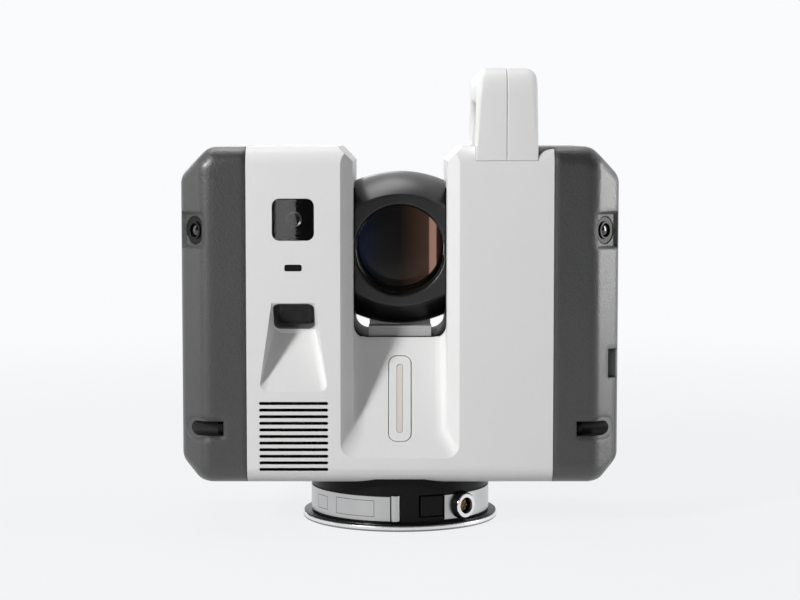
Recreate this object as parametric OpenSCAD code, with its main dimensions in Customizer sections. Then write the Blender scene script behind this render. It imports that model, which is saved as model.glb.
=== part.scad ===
// Terrestrial laser scanner. A body with two pillars turns on a fixed round base,
// and a slanted mirror spins between the pillars. X is to the right seen from the front,
// Y goes to the rear, Z is up, and the origin is the centre of the base's underside.

/* [Body] */
// Width over the two side covers
body_w = 240; // [225:1:260]
// Depth from the front face to the rear face
body_d = 120; // [114:1:132]
// Height of the turning body without its handle
body_h = 184; // [180:1:200]
// Wall of the shells and covers
wall = 2.5; // [2:0.1:3]
// Thickness of the body's floor
floor_t = 5; // [4.5:0.5:6]
// Radius on the long edges of the body
edge_r = 10; // [8:0.5:11]
// Slanted cut on the upright corners of the covers
corner_cut = 13.5; // [12.5:0.5:15]
// Slanted cut on the outer top edges of the covers
top_cut = 16; // [15:0.5:18]
// Slanted cut on the outer bottom edges of the covers
foot_cut = 12; // [11:0.5:12.5]
// Width of a side cover, from its seam to the outer side
cover_w = 36.5; // [35:0.5:40]
// Gap at the seams between parts that are fixed together
seam_gap = 0.15; // [0.1:0.05:0.3]

/* [Mirror gap] */
// Width of the gap between the pillars
gap_w = 51.6; // [51:0.2:54]
// Slanted cut on the upright inner edges of the pillars
pillar_cut = 6.6; // [5:0.2:8]
// Slanted cut on the inner top edges of the pillars
crown_cut = 8; // [6:0.5:10]
// Depth of the mirror axis under the body's top
mirror_drop = 57.5; // [56:0.5:60]
// Largest radius of the mirror rotor
rotor_r = 43.4; // [41:0.2:45]
// Radius of the rotor's bulging outline
bulge_r = 63; // [58:1:75]
// Gap between the rotor and the pillar walls
rotor_gap = 0.5; // [0.4:0.1:0.8]
// Radius of the round mirror opening
aperture_r = 24.6; // [23:0.2:24.6]
// Distance of the rotor's flat face from its axis
face_y = 30.5; // [27:0.5:31]
// Thickness of the mirror plate
mirror_t = 3; // [2:0.5:4]
// Depth of the well's floor under the mirror axis
well_drop = 48.4; // [47:0.2:52]
// Half of the well's length from front to rear
well_half = 28.4; // [27:0.2:30]
// Height of the sloping aprons' lower edge over the body's underside
apron_low = 14.2; // [12:0.2:20]
// Radius of the fillets beside the aprons
apron_r = 7.5; // [5:0.5:12]
// Width of the light bar's frame
light_w = 12.1; // [10:0.1:14]
// Distance of the light bar from the apron's upper and lower edges
light_end = 10.8; // [8:0.2:14]
// Gap around the light bar's frame
light_gap = 0.4; // [0.2:0.05:0.6]
// Thickness of the black well liner
liner_t = 1.5; // [1.2:0.1:1.8]

/* [Openings of the left pillar] */
// Side of the square camera windows
window_w = 22.5; // [20:0.5:24]
// Corner radius of the camera windows
window_r = 4.1; // [3:0.1:5]
// Height of the front window's centre over the mirror axis
window_up = 18; // [16:0.5:20]
// Depth of the lower recess
recess_d = 15; // [13:0.5:16]
// Number of vent slots
slot_n = 11; // [9:1:11]
// Step from slot to slot
slot_step = 3.63; // [3.5:0.01:3.7]
// Height of a vent slot
slot_h = 1.7; // [1.4:0.1:2]
// Width of the vent slots
slot_w = 37.6; // [34:0.2:39]

/* [Side covers] */
// Height of the corner cameras over the mirror axis
corner_up = 12; // [8:0.5:14]
// Turn of the corner cameras away from the front
corner_az = 47; // [44:0.5:49]
// Radius of a corner camera's barrel
barrel_r = 7.3; // [6.8:0.1:7.5]
// Height of the screw channels over the body's underside
screw_up = 30.5; // [28:0.5:33]
// Radius of the screw channels
channel_r = 6; // [5.5:0.1:6.4]
// Width of the display glass
display_w = 70; // [64:1:74]
// Distance of the display's upper edge from the body's top
display_drop = 27.5; // [26:0.5:40]
// Height of the display's lower edge over the body's underside
display_rise = 44.5; // [40:0.5:60]
// Radius of the power button
button_r = 8; // [7:0.2:9]
// Travel of the power button
button_travel = 1.2; // [0.8:0.1:1.6]

/* [Battery door] */
// Distance of the door's ends from the front and rear faces
door_margin = 12; // [11.5:0.5:15]
// Height of the door's top edge over the body's underside
door_h = 57.5; // [54:0.5:60]
// Height of the latch bar over the door
latch_h = 16; // [14:0.5:17]
// Thickness of the door's skin
door_t = 3; // [2.6:0.1:3.2]
// Gap around the door and the latch bar
door_gap = 0.35; // [0.3:0.05:0.5]
// Travel of the latch bar
latch_travel = 2.4; // [1.5:0.1:3]

/* [Handle] */
// Width of the handle at its feet
handle_w = 33.6; // [30:0.2:36]
// Height of the handle over the body's top
handle_h = 42.5; // [42:0.5:50]
// Thickness of the handle's bar
bar_t = 18; // [15:0.5:19]
// Length of a handle foot from front to rear
leg_d = 18; // [16:0.5:20]
// Depth of the handle's feet in the body
foot_in = 7.6; // [6.5:0.1:8.5]

/* [Base] */
// Height of the body's underside over the ground
base_h = 27.5; // [25:0.5:34]
// Radius of the mounting ring
ring_r = 55.5; // [52:0.5:57]
// Height of the mounting ring
ring_h = 3.1; // [2.6:0.1:4]
// Radius of the drum
drum_r = 50; // [47:0.5:51]
// Radius of the turntable hollow under the body
hollow_r = 57.5; // [54:0.5:58.5]
// Radius of the bore for the tripod stub
stub_r = 8; // [6:0.1:9]
// Depth of the bore for the tripod stub
stub_l = 18; // [14:0.5:20]
// Travel of the release key
key_travel = 2.5; // [1.5:0.1:4]
// Direction of the power socket, to the right of the front
socket_az = 42.5; // [41:0.5:50]

/* [Azimuth drive] */
// Module of the gear teeth
gear_m = 0.8; // [0.8:0.01:0.88]
// Teeth of the fixed gear
gear_n = 70; // [70:1:78]
// Teeth of the pinion
pinion_n = 14; // [14:1:18]
// Radial gap between the fixed gear and the pinion
mesh_gap = 0.12; // [0.1:0.01:0.16]
// Radial running gap of shafts in their bores
run_fit = 0.05; // [0.03:0.01:0.08]

/* [Hidden] */
$fn = 72;
ball_fn = 32;
arc_n = 8;
press = 0.02;
half_w = body_w / 2;
half_d = body_d / 2;
z0 = base_h;
z1 = base_h + body_h;
seam_x = half_w - cover_w;
gap_half = gap_w / 2;
pillar_x = (gap_half + pillar_cut + seam_x) / 2;
axis_z = z1 - mirror_drop;
well_z = axis_z - well_drop;
apron_z = z0 + apron_low;
apron_h = well_z - apron_z;
tilt = atan((half_d - well_half) / apron_h);
apron_l = apron_h / cos(tilt);
rotor_half = gap_half - rotor_gap;
liner_top = axis_z + 34;
light_l = apron_l - 2 * light_end;
light_s = apron_l / 2 - 0.9;
telescope_hole = 24.2;

// Lower camera window and its recess
down_top = axis_z - 27.2;
down_fall = 15.4;
down_tilt = atan2(down_fall, recess_d);
grille_z = z0 + 26.2;
recess_low = grille_z + slot_n * slot_step / 2 + 4.7;
recess_r = 4;
recess_w = 37.8;
fan_w = slot_w - 7.6;
fan_z = grille_z + 2;

// Chassis
plate_z = z0 + floor_t;
plate_t = 6;
plate_x = seam_x - 6;
upright_x = gap_half + wall + 0.6;
upright_t = 7;

// Bearing and drive in the base
drum_floor = ring_h + 4;
race_z = base_h - 7.5;
race_h = 8;
race_in = 15;
race_out = 27;
ball_ring = 20.5;
hub_bore = 20;
ball_r = 2.3;
drum_wall = 3.6;
band_low = ring_h + 2;
key_low = drum_floor + 0.4;
band_top = 18.6;
key_from = 13.2;
key_to = 27.8;
key_inner = drum_r - drum_wall - 0.4;
key_flange = 2;
key_stop = key_inner - key_flange - key_travel - 0.4;
socket_z = 12.2;
socket_r = 7.6;
socket_stub = 4.9;
screw_ring = 40;
gear_z = drum_floor + 2.5;
gear_t = 5;
mesh_d = gear_m * (gear_n + pinion_n) / 2 + mesh_gap;

// Battery door hinge
door_half = half_d - door_margin;
hinge_x = half_w - 15.5;
hinge_z = z0 + 4.3;
barrel_out = 3.4;
pin_r = 1.25;
door_top = z0 + door_h;
guide_t = 2;
guide_x = half_w - door_t - latch_travel - guide_t - 1.2;
bay_x = guide_x - latch_travel - 2;

// Left side controls
display_h = body_h - display_drop - display_rise;
display_z = z0 + display_rise + display_h / 2;
button_z = z0 + 24;
button_flange = 1.6;
cup_d = button_flange + button_travel + 0.8;

// Cameras
corner_z = axis_z + corner_up;
corner_in = corner_cut / 2 + 1.5;
corner_x = half_w - corner_in;
corner_y = half_d - corner_in;
lens_r = 3.7;

// Screws in the side covers
screw_y = half_d - 4.5;
screw_z = z0 + screw_up;
screw_x = half_w - 23.6;
boss_l = 7;

// Mirror drive
motor_x0 = upright_x + upright_t;
motor_l = 26;
motor_x1 = motor_x0 + motor_l;
shaft_r = 5;
disc_x = motor_x1 + 3.5;

// Handle
handle_x = pillar_x;
handle_top = z1 + handle_h;
handle_foot = z1 - foot_in;

// Lip of the right cover beside the handle
lip_x = handle_x + handle_w / 2 + seam_gap;
lip_h = 6.6;
lip_t = 1.2;

function arc(c, r, a0, a1, n = arc_n) =
    [for (i = [0:n]) c + r * [cos(a0 + (a1 - a0) * i / n), sin(a0 + (a1 - a0) * i / n)]];

// Outline of a rounded rectangle about the origin
function round_box(w, h, r) = concat(
    arc([w / 2 - r, h / 2 - r], r, 0, 90),
    arc([r - w / 2, h / 2 - r], r, 90, 180),
    arc([r - w / 2, r - h / 2], r, 180, 270),
    arc([w / 2 - r, r - h / 2], r, 270, 360));

// Sketch in Y and Z, drawn out along X
module along_x(l) {
    rotate([90, 0, 90])
        linear_extrude(l, center = true)
            children();
}

// Sketch in X and Z, drawn out along Y
module along_y(l) {
    rotate([90, 0, 0])
        linear_extrude(l, center = true)
            children();
}

// Rounded plate with its outer face at height zero, going down
module plate(w, h, r, t) {
    translate([0, 0, -t])
        linear_extrude(t)
            polygon(round_box(w, h, r));
}

// Round bar along X from x0 to x1 on the mirror axis
module axle(r, x0, x1) {
    translate([x0, 0, axis_z])
        rotate([0, 90, 0])
            cylinder(r = r, h = x1 - x0);
}

// Ring about Z
module ring(r1, r0, za, zb) {
    rotate_extrude()
        translate([r0, za])
            square([r1 - r0, zb - za]);
}

// Sector of a ring about Z, from angle a to angle b to the right of the front
module sector(r1, r0, za, zb, a, b) {
    rotate([0, 0, a - 90])
        rotate_extrude(angle = b - a)
            translate([r0, za])
                square([r1 - r0, zb - za]);
}

// Copies in the four quarters of the body; the child is drawn at the right front
module quarters() {
    for (sx = [0, 1], sy = [0, 1])
        mirror([sx, 0, 0])
            mirror([0, sy, 0])
                children();
}

// Front and rear copies; the child is drawn at the front
module front_rear() {
    for (sy = [0, 1])
        mirror([0, sy, 0])
            children();
}

// Frame on the front apron: the origin is s along the slope, Z leaves the surface
module on_apron(s) {
    translate([0, s * sin(tilt) - half_d, apron_z + s * cos(tilt)])
        rotate([90 - tilt, 0, 0])
            children();
}

// Frame on the lower camera window: Z leaves the surface
module on_down_window() {
    translate([-pillar_x, recess_d / 2 - half_d, down_top - down_fall / 2])
        rotate([180 - down_tilt, 0, 0])
            children();
}

// Frame on a corner camera at the right front: Z leaves the surface
module on_corner() {
    translate([corner_x, -corner_y, corner_z])
        rotate([90, 0, corner_az])
            children();
}

// Outer form of the right side cover
function cut_in(c) = c - 0.586 * edge_r;
module cover_form() {
    a = half_w - edge_r;
    b = half_d - edge_r;
    c = cut_in(corner_cut);
    t = cut_in(top_cut);
    f = cut_in(foot_cut);
    hull() {
        for (sy = [-1, 1], p = [
            [a - t, b, z1 - edge_r],
            [a - c, b, z1 - edge_r - t + c],
            [a, b - c, z1 - edge_r - t],
            [a - c, b, z0 + edge_r],
            [a - f, b - c + f, z0 + edge_r],
            [a, b - c, z0 + edge_r + f]])
            translate([p[0], sy * p[1], p[2]])
                rotate([0, 90, 0])
                    sphere(edge_r / cos(180 / ball_fn), $fn = ball_fn);
        translate([seam_x + seam_gap + 0.25, 0, (z0 + z1) / 2])
            along_x(0.5)
                polygon(round_box(body_d, body_h, edge_r));
    }
}

// Outline of a rectangle with slanted corners, c1 at the top and c0 at the bottom
function cut_box(x, za, zb, c0, c1) = [
    [x, za + c0], [x, zb - c1], [x - c1, zb], [c1 - x, zb],
    [-x, zb - c1], [-x, za + c0], [c0 - x, za], [x - c0, za]];

// Inner form of the body, t inside its faces
module inner_form(t) {
    x = half_w - t;
    y = half_d - t;
    intersection() {
        along_y(2 * body_d)
            polygon(cut_box(x, z0 + t, z1 - t, foot_cut + 1, top_cut + 1));
        along_x(2 * body_w)
            polygon(cut_box(y, z0 + t, z1 - t, edge_r / 2, edge_r / 2));
        linear_extrude(2 * body_h)
            polygon(cut_box(x, -y, y, corner_cut + 0.5, corner_cut + 0.5));
    }
}

// Side outline of the white middle of the body, taken in by g at the sides and top
module middle_form(g, low) {
    along_x(2 * seam_x)
        translate([0, (z0 + low + z1 - g) / 2])
            polygon(round_box(body_d - 2 * g, body_h - g - low, edge_r - g));
}

// Saddle under the mirror gap: the well's floor and both aprons, taken in by g
module saddle(g) {
    y0 = half_d - g / cos(tilt);
    low = 8;
    ya = y0 + low * tan(tilt);
    yb = y0 - (apron_h - g) * tan(tilt);
    along_x(body_w)
        polygon([
            [-ya, apron_z - low],
            [-yb, well_z - g],
            [yb, well_z - g],
            [ya, apron_z - low],
            [ya, -10],
            [-ya, -10]]);
}

// Space between the pillars, grown by g
module mirror_space(g) {
    h = gap_half + g;
    k = g * (sqrt(2) - 1);
    y0 = half_d - pillar_cut - k;
    y1 = half_d + 4;
    x1 = h + y1 - y0;
    top = z1 + 2;
    difference() {
        union() {
            translate([0, 0, apron_z - 20])
                linear_extrude(top - apron_z + 20)
                    polygon([
                        [-x1, -y1], [x1, -y1], [h, -y0], [h, y0],
                        [x1, y1], [-x1, y1], [-h, y0], [-h, -y0]]);
            along_y(body_d + 8)
                polygon([
                    [-h - crown_cut - k - 2, z1 + 2], [-h, z1 - crown_cut - k],
                    [h, z1 - crown_cut - k], [h + crown_cut + k + 2, z1 + 2]]);
        }
        saddle(g);
    }
}

// Recess under the lower camera window, grown by g
module recess(g) {
    cx = recess_w / 2 - 1.16 * recess_r;
    translate([-pillar_x, 0, 0])
        hull() {
            translate([0, 0.5 - half_d - 1, 0])
                along_y(1)
                    polygon(concat(
                        [[-11.8 - g, down_top + g], [11.8 + g, down_top + g]],
                        arc([cx, recess_low + recess_r], recess_r + g, 8, -90, 4),
                        arc([-cx, recess_low + recess_r], recess_r + g, -90, -188, 4)));
            translate([0, recess_d - half_d - 0.5 + g * 0.8, 0])
                along_y(1)
                    polygon([
                        [-11.3 - g, down_top - down_fall + g], [11.3 + g, down_top - down_fall + g],
                        [7.6 + g, down_top - 17.8 - g], [-7.6 - g, down_top - 17.8 - g]]);
        }
}

// Vent slots in the front wall
module vent_slots() {
    for (i = [0:slot_n - 1])
        translate([-pillar_x, -half_d, grille_z + (i - (slot_n - 1) / 2) * slot_step])
            along_y(4 * wall)
                polygon(round_box(slot_w, slot_h, slot_h / 2 - 0.02));
}

// Place of the handle's feet in the shells
module handle_seat() {
    for (s = [-1, 1])
        translate([
            handle_x - handle_w / 2 - seam_gap,
            s * (half_d - leg_d / 2 + 1) - leg_d / 2 - 1 - seam_gap,
            handle_foot - seam_gap])
            cube([handle_w + 2 * seam_gap, leg_d + 2 + 2 * seam_gap, foot_in + 5]);
}

// Outer form of the well liner, grown by g
module liner_form(g) {
    translate([-gap_half - liner_t - g, -well_half - g, well_z - liner_t - g])
        cube([gap_w + 2 * (liner_t + g), 2 * (well_half + g), liner_top - well_z + liner_t + 2 * g]);
}

// Outline of the open space over an apron, seen from the front: half width w, lowest point z
function scoop_outline(w, z) = concat(
    [[w, z1 + 2], [-w, z1 + 2]],
    arc([apron_r - w, z + apron_r], apron_r, 180, 270),
    arc([w - apron_r, z + apron_r], apron_r, 270, 360));

// Slice of that space, one thick, whose inner face is y behind the front face
module scoop_slice(w, y) {
    translate([0, y - half_d - 0.5, 0])
        along_y(1)
            polygon(scoop_outline(w, apron_z + y / tan(tilt)));
}

// Open space between the pillars, with rounded corners beside the aprons
module scoop() {
    e = 4;
    front_rear() {
        hull() {
            scoop_slice(gap_half + pillar_cut + e, -e);
            scoop_slice(gap_half, pillar_cut);
        }
        hull() {
            scoop_slice(gap_half, pillar_cut);
            scoop_slice(gap_half, half_d - well_half);
        }
    }
    translate([-gap_half, -well_half - 0.5, well_z])
        cube([gap_w, 2 * well_half + 1, z1 + 2 - well_z]);
    along_y(body_d + 8)
        polygon([
            [-gap_half - crown_cut - 2, z1 + 2], [-gap_half, z1 - crown_cut],
            [gap_half, z1 - crown_cut], [gap_half + crown_cut + 2, z1 + 2]]);
}

// Both white shells in one, before they are parted
module white_middle() {
    difference() {
        union() {
            difference() {
                middle_form(0, 0);
                difference() {
                    middle_form(wall, floor_t);
                    mirror_space(wall);
                }
            }
            intersection() {
                middle_form(0.5, 0.5);
                front_rear()
                    translate([handle_x - handle_w / 2 - wall, 1 - half_d, handle_foot - wall])
                        cube([handle_w + 2 * wall, leg_d + wall, foot_in + wall]);
            }
            for (sx = [-1, 1])
                front_rear()
                    translate([sx * (seam_x - boss_l / 2), -screw_y, screw_z])
                        rotate([0, 90, 0])
                            cylinder(r = 4, h = boss_l, center = true);
        }
        scoop();
        liner_form(seam_gap);
        translate([-gap_half - wall - 0.3, -well_half - seam_gap, well_z])
            cube([gap_w + 2 * wall + 0.6, 2 * (well_half + seam_gap), liner_top - well_z + seam_gap]);
        handle_seat();
        lip_space(seam_gap);
        translate([0, 0, z0 - 3])
            cylinder(r = hollow_r, h = 5);
        translate([0, 0, z0 - 3])
            cylinder(r = drum_r - 4, h = floor_t + 4);
        for (sx = [-1, 1])
            front_rear()
                translate([sx * seam_x, -screw_y, screw_z])
                    rotate([0, 90, 0])
                        cylinder(r = 1.5 + press, h = 30, center = true);
    }
}

// Space of the right cover's lip beside the handle, grown by g
module lip_space(g) {
    a = seam_x - lip_x;
    along_y(2 * body_d)
        polygon(concat(
            [[seam_x + 2, z1 + 5], [lip_x - g, z1 + 5]],
            g > 0 ? [[lip_x - g, z1 - lip_h - g]] : [],
            [for (i = [0:arc_n])
                [seam_x - (a - g) * cos(90 * i / arc_n),
                 z1 - lip_h + (lip_h - lip_t - g) * sin(90 * i / arc_n)]],
            [[seam_x + 2, z1 - lip_t - g]]));
}

module half_space(s) {
    translate([-body_w, s < 0 ? -body_w : seam_gap / 2, -10])
        cube([2 * body_w, body_w - (s < 0 ? seam_gap / 2 : 0), body_w * 2]);
}

// White front shell with the camera openings, grille and light bar
module front_shell() {
    color("white")
        difference() {
            intersection() {
                union() {
                    white_middle();
                    intersection() {
                        recess(wall);
                        middle_form(0.5, 0.5);
                    }
                }
                half_space(-1);
            }
            recess(0);
            on_down_window()
                translate([0, 0, 5])
                    plate(window_w - 1 + 2 * seam_gap, 19 + 2 * seam_gap, 3.3, 12);
            translate([-pillar_x, -half_d, axis_z + window_up])
                along_y(4 * wall)
                    polygon(round_box(window_w + 2 * seam_gap, window_w + 2 * seam_gap, window_r));
            translate([-pillar_x, -half_d, axis_z - 8.2])
                along_y(4 * wall)
                    polygon(round_box(9.1 + 2 * seam_gap, 3.3 + 2 * seam_gap, 1));
            vent_slots();
            on_apron(light_s)
                translate([0, 0, 4])
                    plate(light_w + 2 * light_gap, light_l + 2 * light_gap, 4.4 + light_gap, 12);
            top_opening();
        }
}

// Opening of the upward camera window
module top_opening() {
    translate([-pillar_x, 0, z1 + 4])
        plate(window_w + 2 * seam_gap, window_w + 2 * seam_gap, window_r, 4 + 2 * wall);
}

// White rear shell with a second grille for the outgoing air
module rear_shell() {
    color("white")
        difference() {
            intersection() {
                white_middle();
                half_space(1);
            }
            top_opening();
            mirror([0, 1, 0])
                vent_slots();
        }
}

// Black U-shaped liner of the well
module well_liner() {
    r = 8;
    color([0.05, 0.05, 0.05])
        difference() {
            liner_form(0);
            along_y(3 * well_half)
                polygon(concat(
                    [[gap_half, liner_top + 2], [-gap_half, liner_top + 2]],
                    arc([r - gap_half, well_z + r], r, 180, 270),
                    arc([gap_half - r, well_z + r], r, 270, 360)));
            axle(telescope_hole, gap_half - 1, gap_half + 3);
            axle(12, -gap_half - 3, 1 - gap_half);
        }
}

// Pale reference block with a hollow over its length
module reference_block() {
    color([0.75, 0.75, 0.73])
        difference() {
            translate([-17.5, 1.5 - well_half, well_z])
                cube([35, 2 * well_half - 3, 5.8]);
            axle(rotor_r + 1.6, -30, 30);
        }
}

// Frame of the light bar on the front apron
module light_frame() {
    color([0.93, 0.93, 0.92])
        on_apron(light_s)
            difference() {
                union() {
                    plate(light_w, light_l, 4.4, wall);
                    translate([0, 0, -wall])
                        plate(light_w + 4, light_l + 4, 4.4, 1.2);
                }
                translate([0, 0, 1])
                    plate(3.1 + 2 * seam_gap, light_l - 10 + 2 * seam_gap, 1.5, wall + 3);
            }
}

// Glowing lens of the light bar
module light_lens() {
    color([1, 0.95, 0.85])
        on_apron(light_s) {
            translate([0, 0, -0.3])
                plate(3.1, light_l - 10, 1.4, wall + 0.9);
            translate([0, 0, -wall - 1.2])
                plate(light_w - 3, light_l - 4, 1.4, 1.2);
        }
}

module front_window() {
    color([0.05, 0.05, 0.06])
        translate([-pillar_x, -half_d + 0.25, axis_z + window_up])
            rotate([90, 0, 0])
                plate(window_w, window_w, window_r - seam_gap, 1.8);
}

module down_window() {
    color([0.05, 0.05, 0.06])
        on_down_window()
            translate([0, 0, -0.2])
                plate(window_w - 1, 19, 3.1, 1.8);
}

module top_window() {
    color([0.05, 0.05, 0.06])
        translate([-pillar_x, 0, z1 - 0.25])
            plate(window_w, window_w, window_r - seam_gap, 1.8);
}

module sensor_window() {
    color([0.04, 0.04, 0.05])
        translate([-pillar_x, -half_d + 0.25, axis_z - 8.2])
            rotate([90, 0, 0])
                plate(9.1, 3.3, 0.9, 2.6);
}

// Camera body behind a window: hood, housing and barrel, with the front at height zero
module camera_body(w, h) {
    difference() {
        union() {
            plate(w, h, 2, 9);
            translate([0, 0, -8])
                plate(w - 5, h - 5, 2, 14);
        }
        translate([0, 0, 0.5])
            plate(w - 3, h - 3, 1.2, 7.5);
        translate([0, 0, -12])
            cylinder(r = 4.6, h = 6);
    }
}

module front_camera() {
    color([0.1, 0.1, 0.11])
        translate([-pillar_x, 2.1 - half_d, axis_z + window_up])
            rotate([90, 0, 0])
                difference() {
                    union() {
                        camera_body(window_w - 1, window_w - 1);
                        translate([0, 0, -8])
                            ring(7, 4.6, 0, 4.5);
                    }
                    translate([0, 0, -9])
                        cylinder(r = 4.6, h = 3);
                }
}

module front_lens() {
    color([0.1, 0.1, 0.2])
        translate([-pillar_x, 2.1 - half_d, axis_z + window_up])
            rotate([90, 0, 0])
                translate([0, 0, -12])
                    cylinder(r = 4.6 - press, h = 6.5);
}

// Modules behind the downward and upward windows
module tilt_cameras() {
    color([0.12, 0.12, 0.13]) {
        on_down_window()
            translate([0, 0, -2.1])
                camera_body(18, 16);
        translate([-pillar_x, 0, z1 - 2.2])
            camera_body(19, 19);
    }
}

// Hollow of a corner camera at the right front
module corner_pocket() {
    w = 8;
    h = 8.6;
    d = 7;
    on_corner()
        intersection() {
            along_y(50)
                polygon([[-w, 0], [w, 0], [w + 0.8 * d, d], [-w, d]]);
            along_x(50)
                polygon([[-h, 0], [h, 0], [h + 0.9 * d, d], [-h - 0.9 * d, d]]);
        }
}

// Barrels of the four corner cameras
module corner_cameras() {
    color([0.2, 0.2, 0.21])
        quarters()
            on_corner()
                difference() {
                    union() {
                        translate([0, 0, -8])
                            cylinder(r = barrel_r, h = 7.7);
                        translate([0, 0, -8])
                            cylinder(r = lens_r + 1.2, h = 8.6);
                    }
                    translate([0, 0, -2.6])
                        cylinder(r = lens_r + press, h = 5);
                }
}

// Lenses of the four corner cameras
module corner_lenses() {
    color([0.05, 0.05, 0.1])
        quarters()
            on_corner()
                intersection() {
                    translate([0, 0, -2.6])
                        cylinder(r = lens_r, h = 4);
                    translate([0, 0, -5.6])
                        sphere(r = 6);
                }
}

// Skin of a side cover at the right, with pockets and screw channels
module cover_skin() {
    difference() {
        union() {
            difference() {
                cover_form();
                inner_form(wall);
            }
            intersection() {
                inner_form(wall - 0.4);
                front_rear() {
                    translate([seam_x + seam_gap, -screw_y, screw_z])
                        rotate([0, 90, 0])
                            cylinder(r = channel_r + 1.2, h = cover_w);
                    on_corner()
                        translate([0, 0, -6])
                            cylinder(r = barrel_r + 2, h = 12);
                }
            }
        }
        front_rear() {
            corner_pocket();
            on_corner() {
                translate([0, 0, -9])
                    cylinder(r = barrel_r + press, h = 10);
                translate([0, 0, -1.2])
                    cylinder(r = barrel_r + 0.45, h = 4);
            }
            translate([screw_x, -screw_y, screw_z])
                rotate([0, 90, 0])
                    cylinder(r = channel_r, h = cover_w);
            translate([seam_x - 1, -screw_y, screw_z])
                rotate([0, 90, 0])
                    cylinder(r = 1.7, h = cover_w);
        }
    }
}

// Left side cover with the display and the power button
module left_cover() {
    color([0.25, 0.25, 0.26])
        difference() {
            union() {
                mirror([1, 0, 0])
                    cover_skin();
                translate([-half_w + wall - 0.5, 0, button_z])
                    rotate([0, 90, 0])
                        cylinder(r = button_r + 3.4, h = cup_d + 2);
            }
            translate([-half_w, 0, display_z])
                along_x(6 * wall)
                    polygon(round_box(display_w + 2 * seam_gap, display_h + 2 * seam_gap, 5));
            translate([-half_w - 5, 0, button_z])
                rotate([0, 90, 0])
                    cylinder(r = button_r + 0.3, h = 5 + 2 * wall);
            translate([-half_w + wall, 0, button_z])
                rotate([0, 90, 0])
                    cylinder(r = button_r + 2, h = cup_d);
        }
}

module display_glass() {
    color([0.04, 0.04, 0.05])
        translate([-half_w + 0.25, 0, display_z])
            rotate([0, -90, 0])
                plate(display_h, display_w, 4.9, wall - 0.25);
}

// Panel behind the display glass, wider than the opening
module display_panel() {
    color([0.15, 0.16, 0.18])
        translate([-half_w + wall, -display_w / 2 - 1.5, display_z - display_h / 2 - 1.5])
            cube([5, display_w + 3, display_h + 3]);
}

// Push button with a flange behind the cover
module power_button() {
    color([0.35, 0.35, 0.36])
        translate([-half_w - 0.3, 0, button_z])
            rotate([0, 90, 0]) {
                cylinder(r = button_r, h = wall + 1.6);
                translate([0, 0, wall + 0.7])
                    cylinder(r = button_r + 1.6, h = button_flange);
            }
}

// Space of the door and the latch bar in the right cover
module door_space() {
    translate([hinge_x, -door_half, 0])
        cube([cover_w, 2 * door_half, door_top]);
    translate([hinge_x, -door_half - 4.6, door_top])
        cube([cover_w, 2 * door_half + 9.2, latch_h]);
    translate([hinge_x, 0, hinge_z])
        rotate([90, 0, 0])
            cylinder(r = hinge_z - z0 + 2.9, h = 2 * door_half, center = true);
}

// Right side cover with the opening for the battery door and lugs for the hinge pin
module right_cover() {
    color([0.24, 0.24, 0.25])
        difference() {
            union() {
                difference() {
                    cover_skin();
                    door_space();
                }
                intersection() {
                    lip_space(0);
                    translate([seam_x, 0, (z0 + z1) / 2])
                        along_x(2 * (seam_x - lip_x))
                            polygon(round_box(body_d, body_h, edge_r));
                    translate([lip_x - 1, -body_d, 0])
                        cube([seam_x - lip_x + 2, 2 * body_d, 2 * z1]);
                }
                intersection() {
                    inner_form(wall - 1);
                    front_rear()
                        translate([hinge_x - 4, -door_half - 3.5, z0])
                            cube([8, 3.5, 8.5]);
                }
            }
            translate([hinge_x, 0, hinge_z])
                rotate([90, 0, 0])
                    cylinder(r = pin_r + press, h = 2 * door_half + 6, center = true);
        }
}

module hinge_pin() {
    color([0.7, 0.7, 0.72])
        translate([hinge_x, 0, hinge_z])
            rotate([90, 0, 0])
                cylinder(r = pin_r, h = 2 * door_half + 5.6, center = true);
}

// Battery door with its hinge barrel and the guides of the latch bar
module battery_door() {
    d = door_half - door_gap;
    color([0.25, 0.25, 0.26])
        difference() {
            union() {
                difference() {
                    intersection() {
                        cover_form();
                        translate([hinge_x, -d, 0])
                            cube([cover_w, 2 * d, door_top - door_gap]);
                    }
                    inner_form(door_t);
                }
                translate([hinge_x, 0, hinge_z])
                    rotate([90, 0, 0])
                        cylinder(r = barrel_out, h = 2 * d, center = true);
                front_rear() {
                    translate([guide_x, -27, door_top - 8])
                        cube([half_w - guide_x - door_t / 2, 10, 5]);
                    translate([guide_x, -27, door_top - 8])
                        cube([guide_t, 10, latch_h / 2 + 11]);
                }
            }
            translate([hinge_x, 0, hinge_z])
                rotate([90, 0, 0])
                    cylinder(r = pin_r + run_fit, h = 3 * door_half, center = true);
            front_rear()
                translate([guide_x - 3, -22, door_top + latch_h / 2])
                    rotate([0, 90, 0])
                        cylinder(r = 1.5 + run_fit, h = guide_t + 5);
        }
}

// Latch bar over the door, pushed in to open
module door_latch() {
    d = door_half - door_gap;
    color([0.22, 0.22, 0.23]) {
        difference() {
            intersection() {
                cover_form();
                translate([hinge_x, -d, door_top])
                    cube([cover_w, 2 * d, latch_h - door_gap]);
            }
            inner_form(door_t);
        }
        front_rear()
            translate([guide_x - 0.4, -22, door_top + latch_h / 2])
                rotate([0, 90, 0])
                    cylinder(r = 1.5, h = half_w - guide_x - door_t / 2);
    }
}

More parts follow.
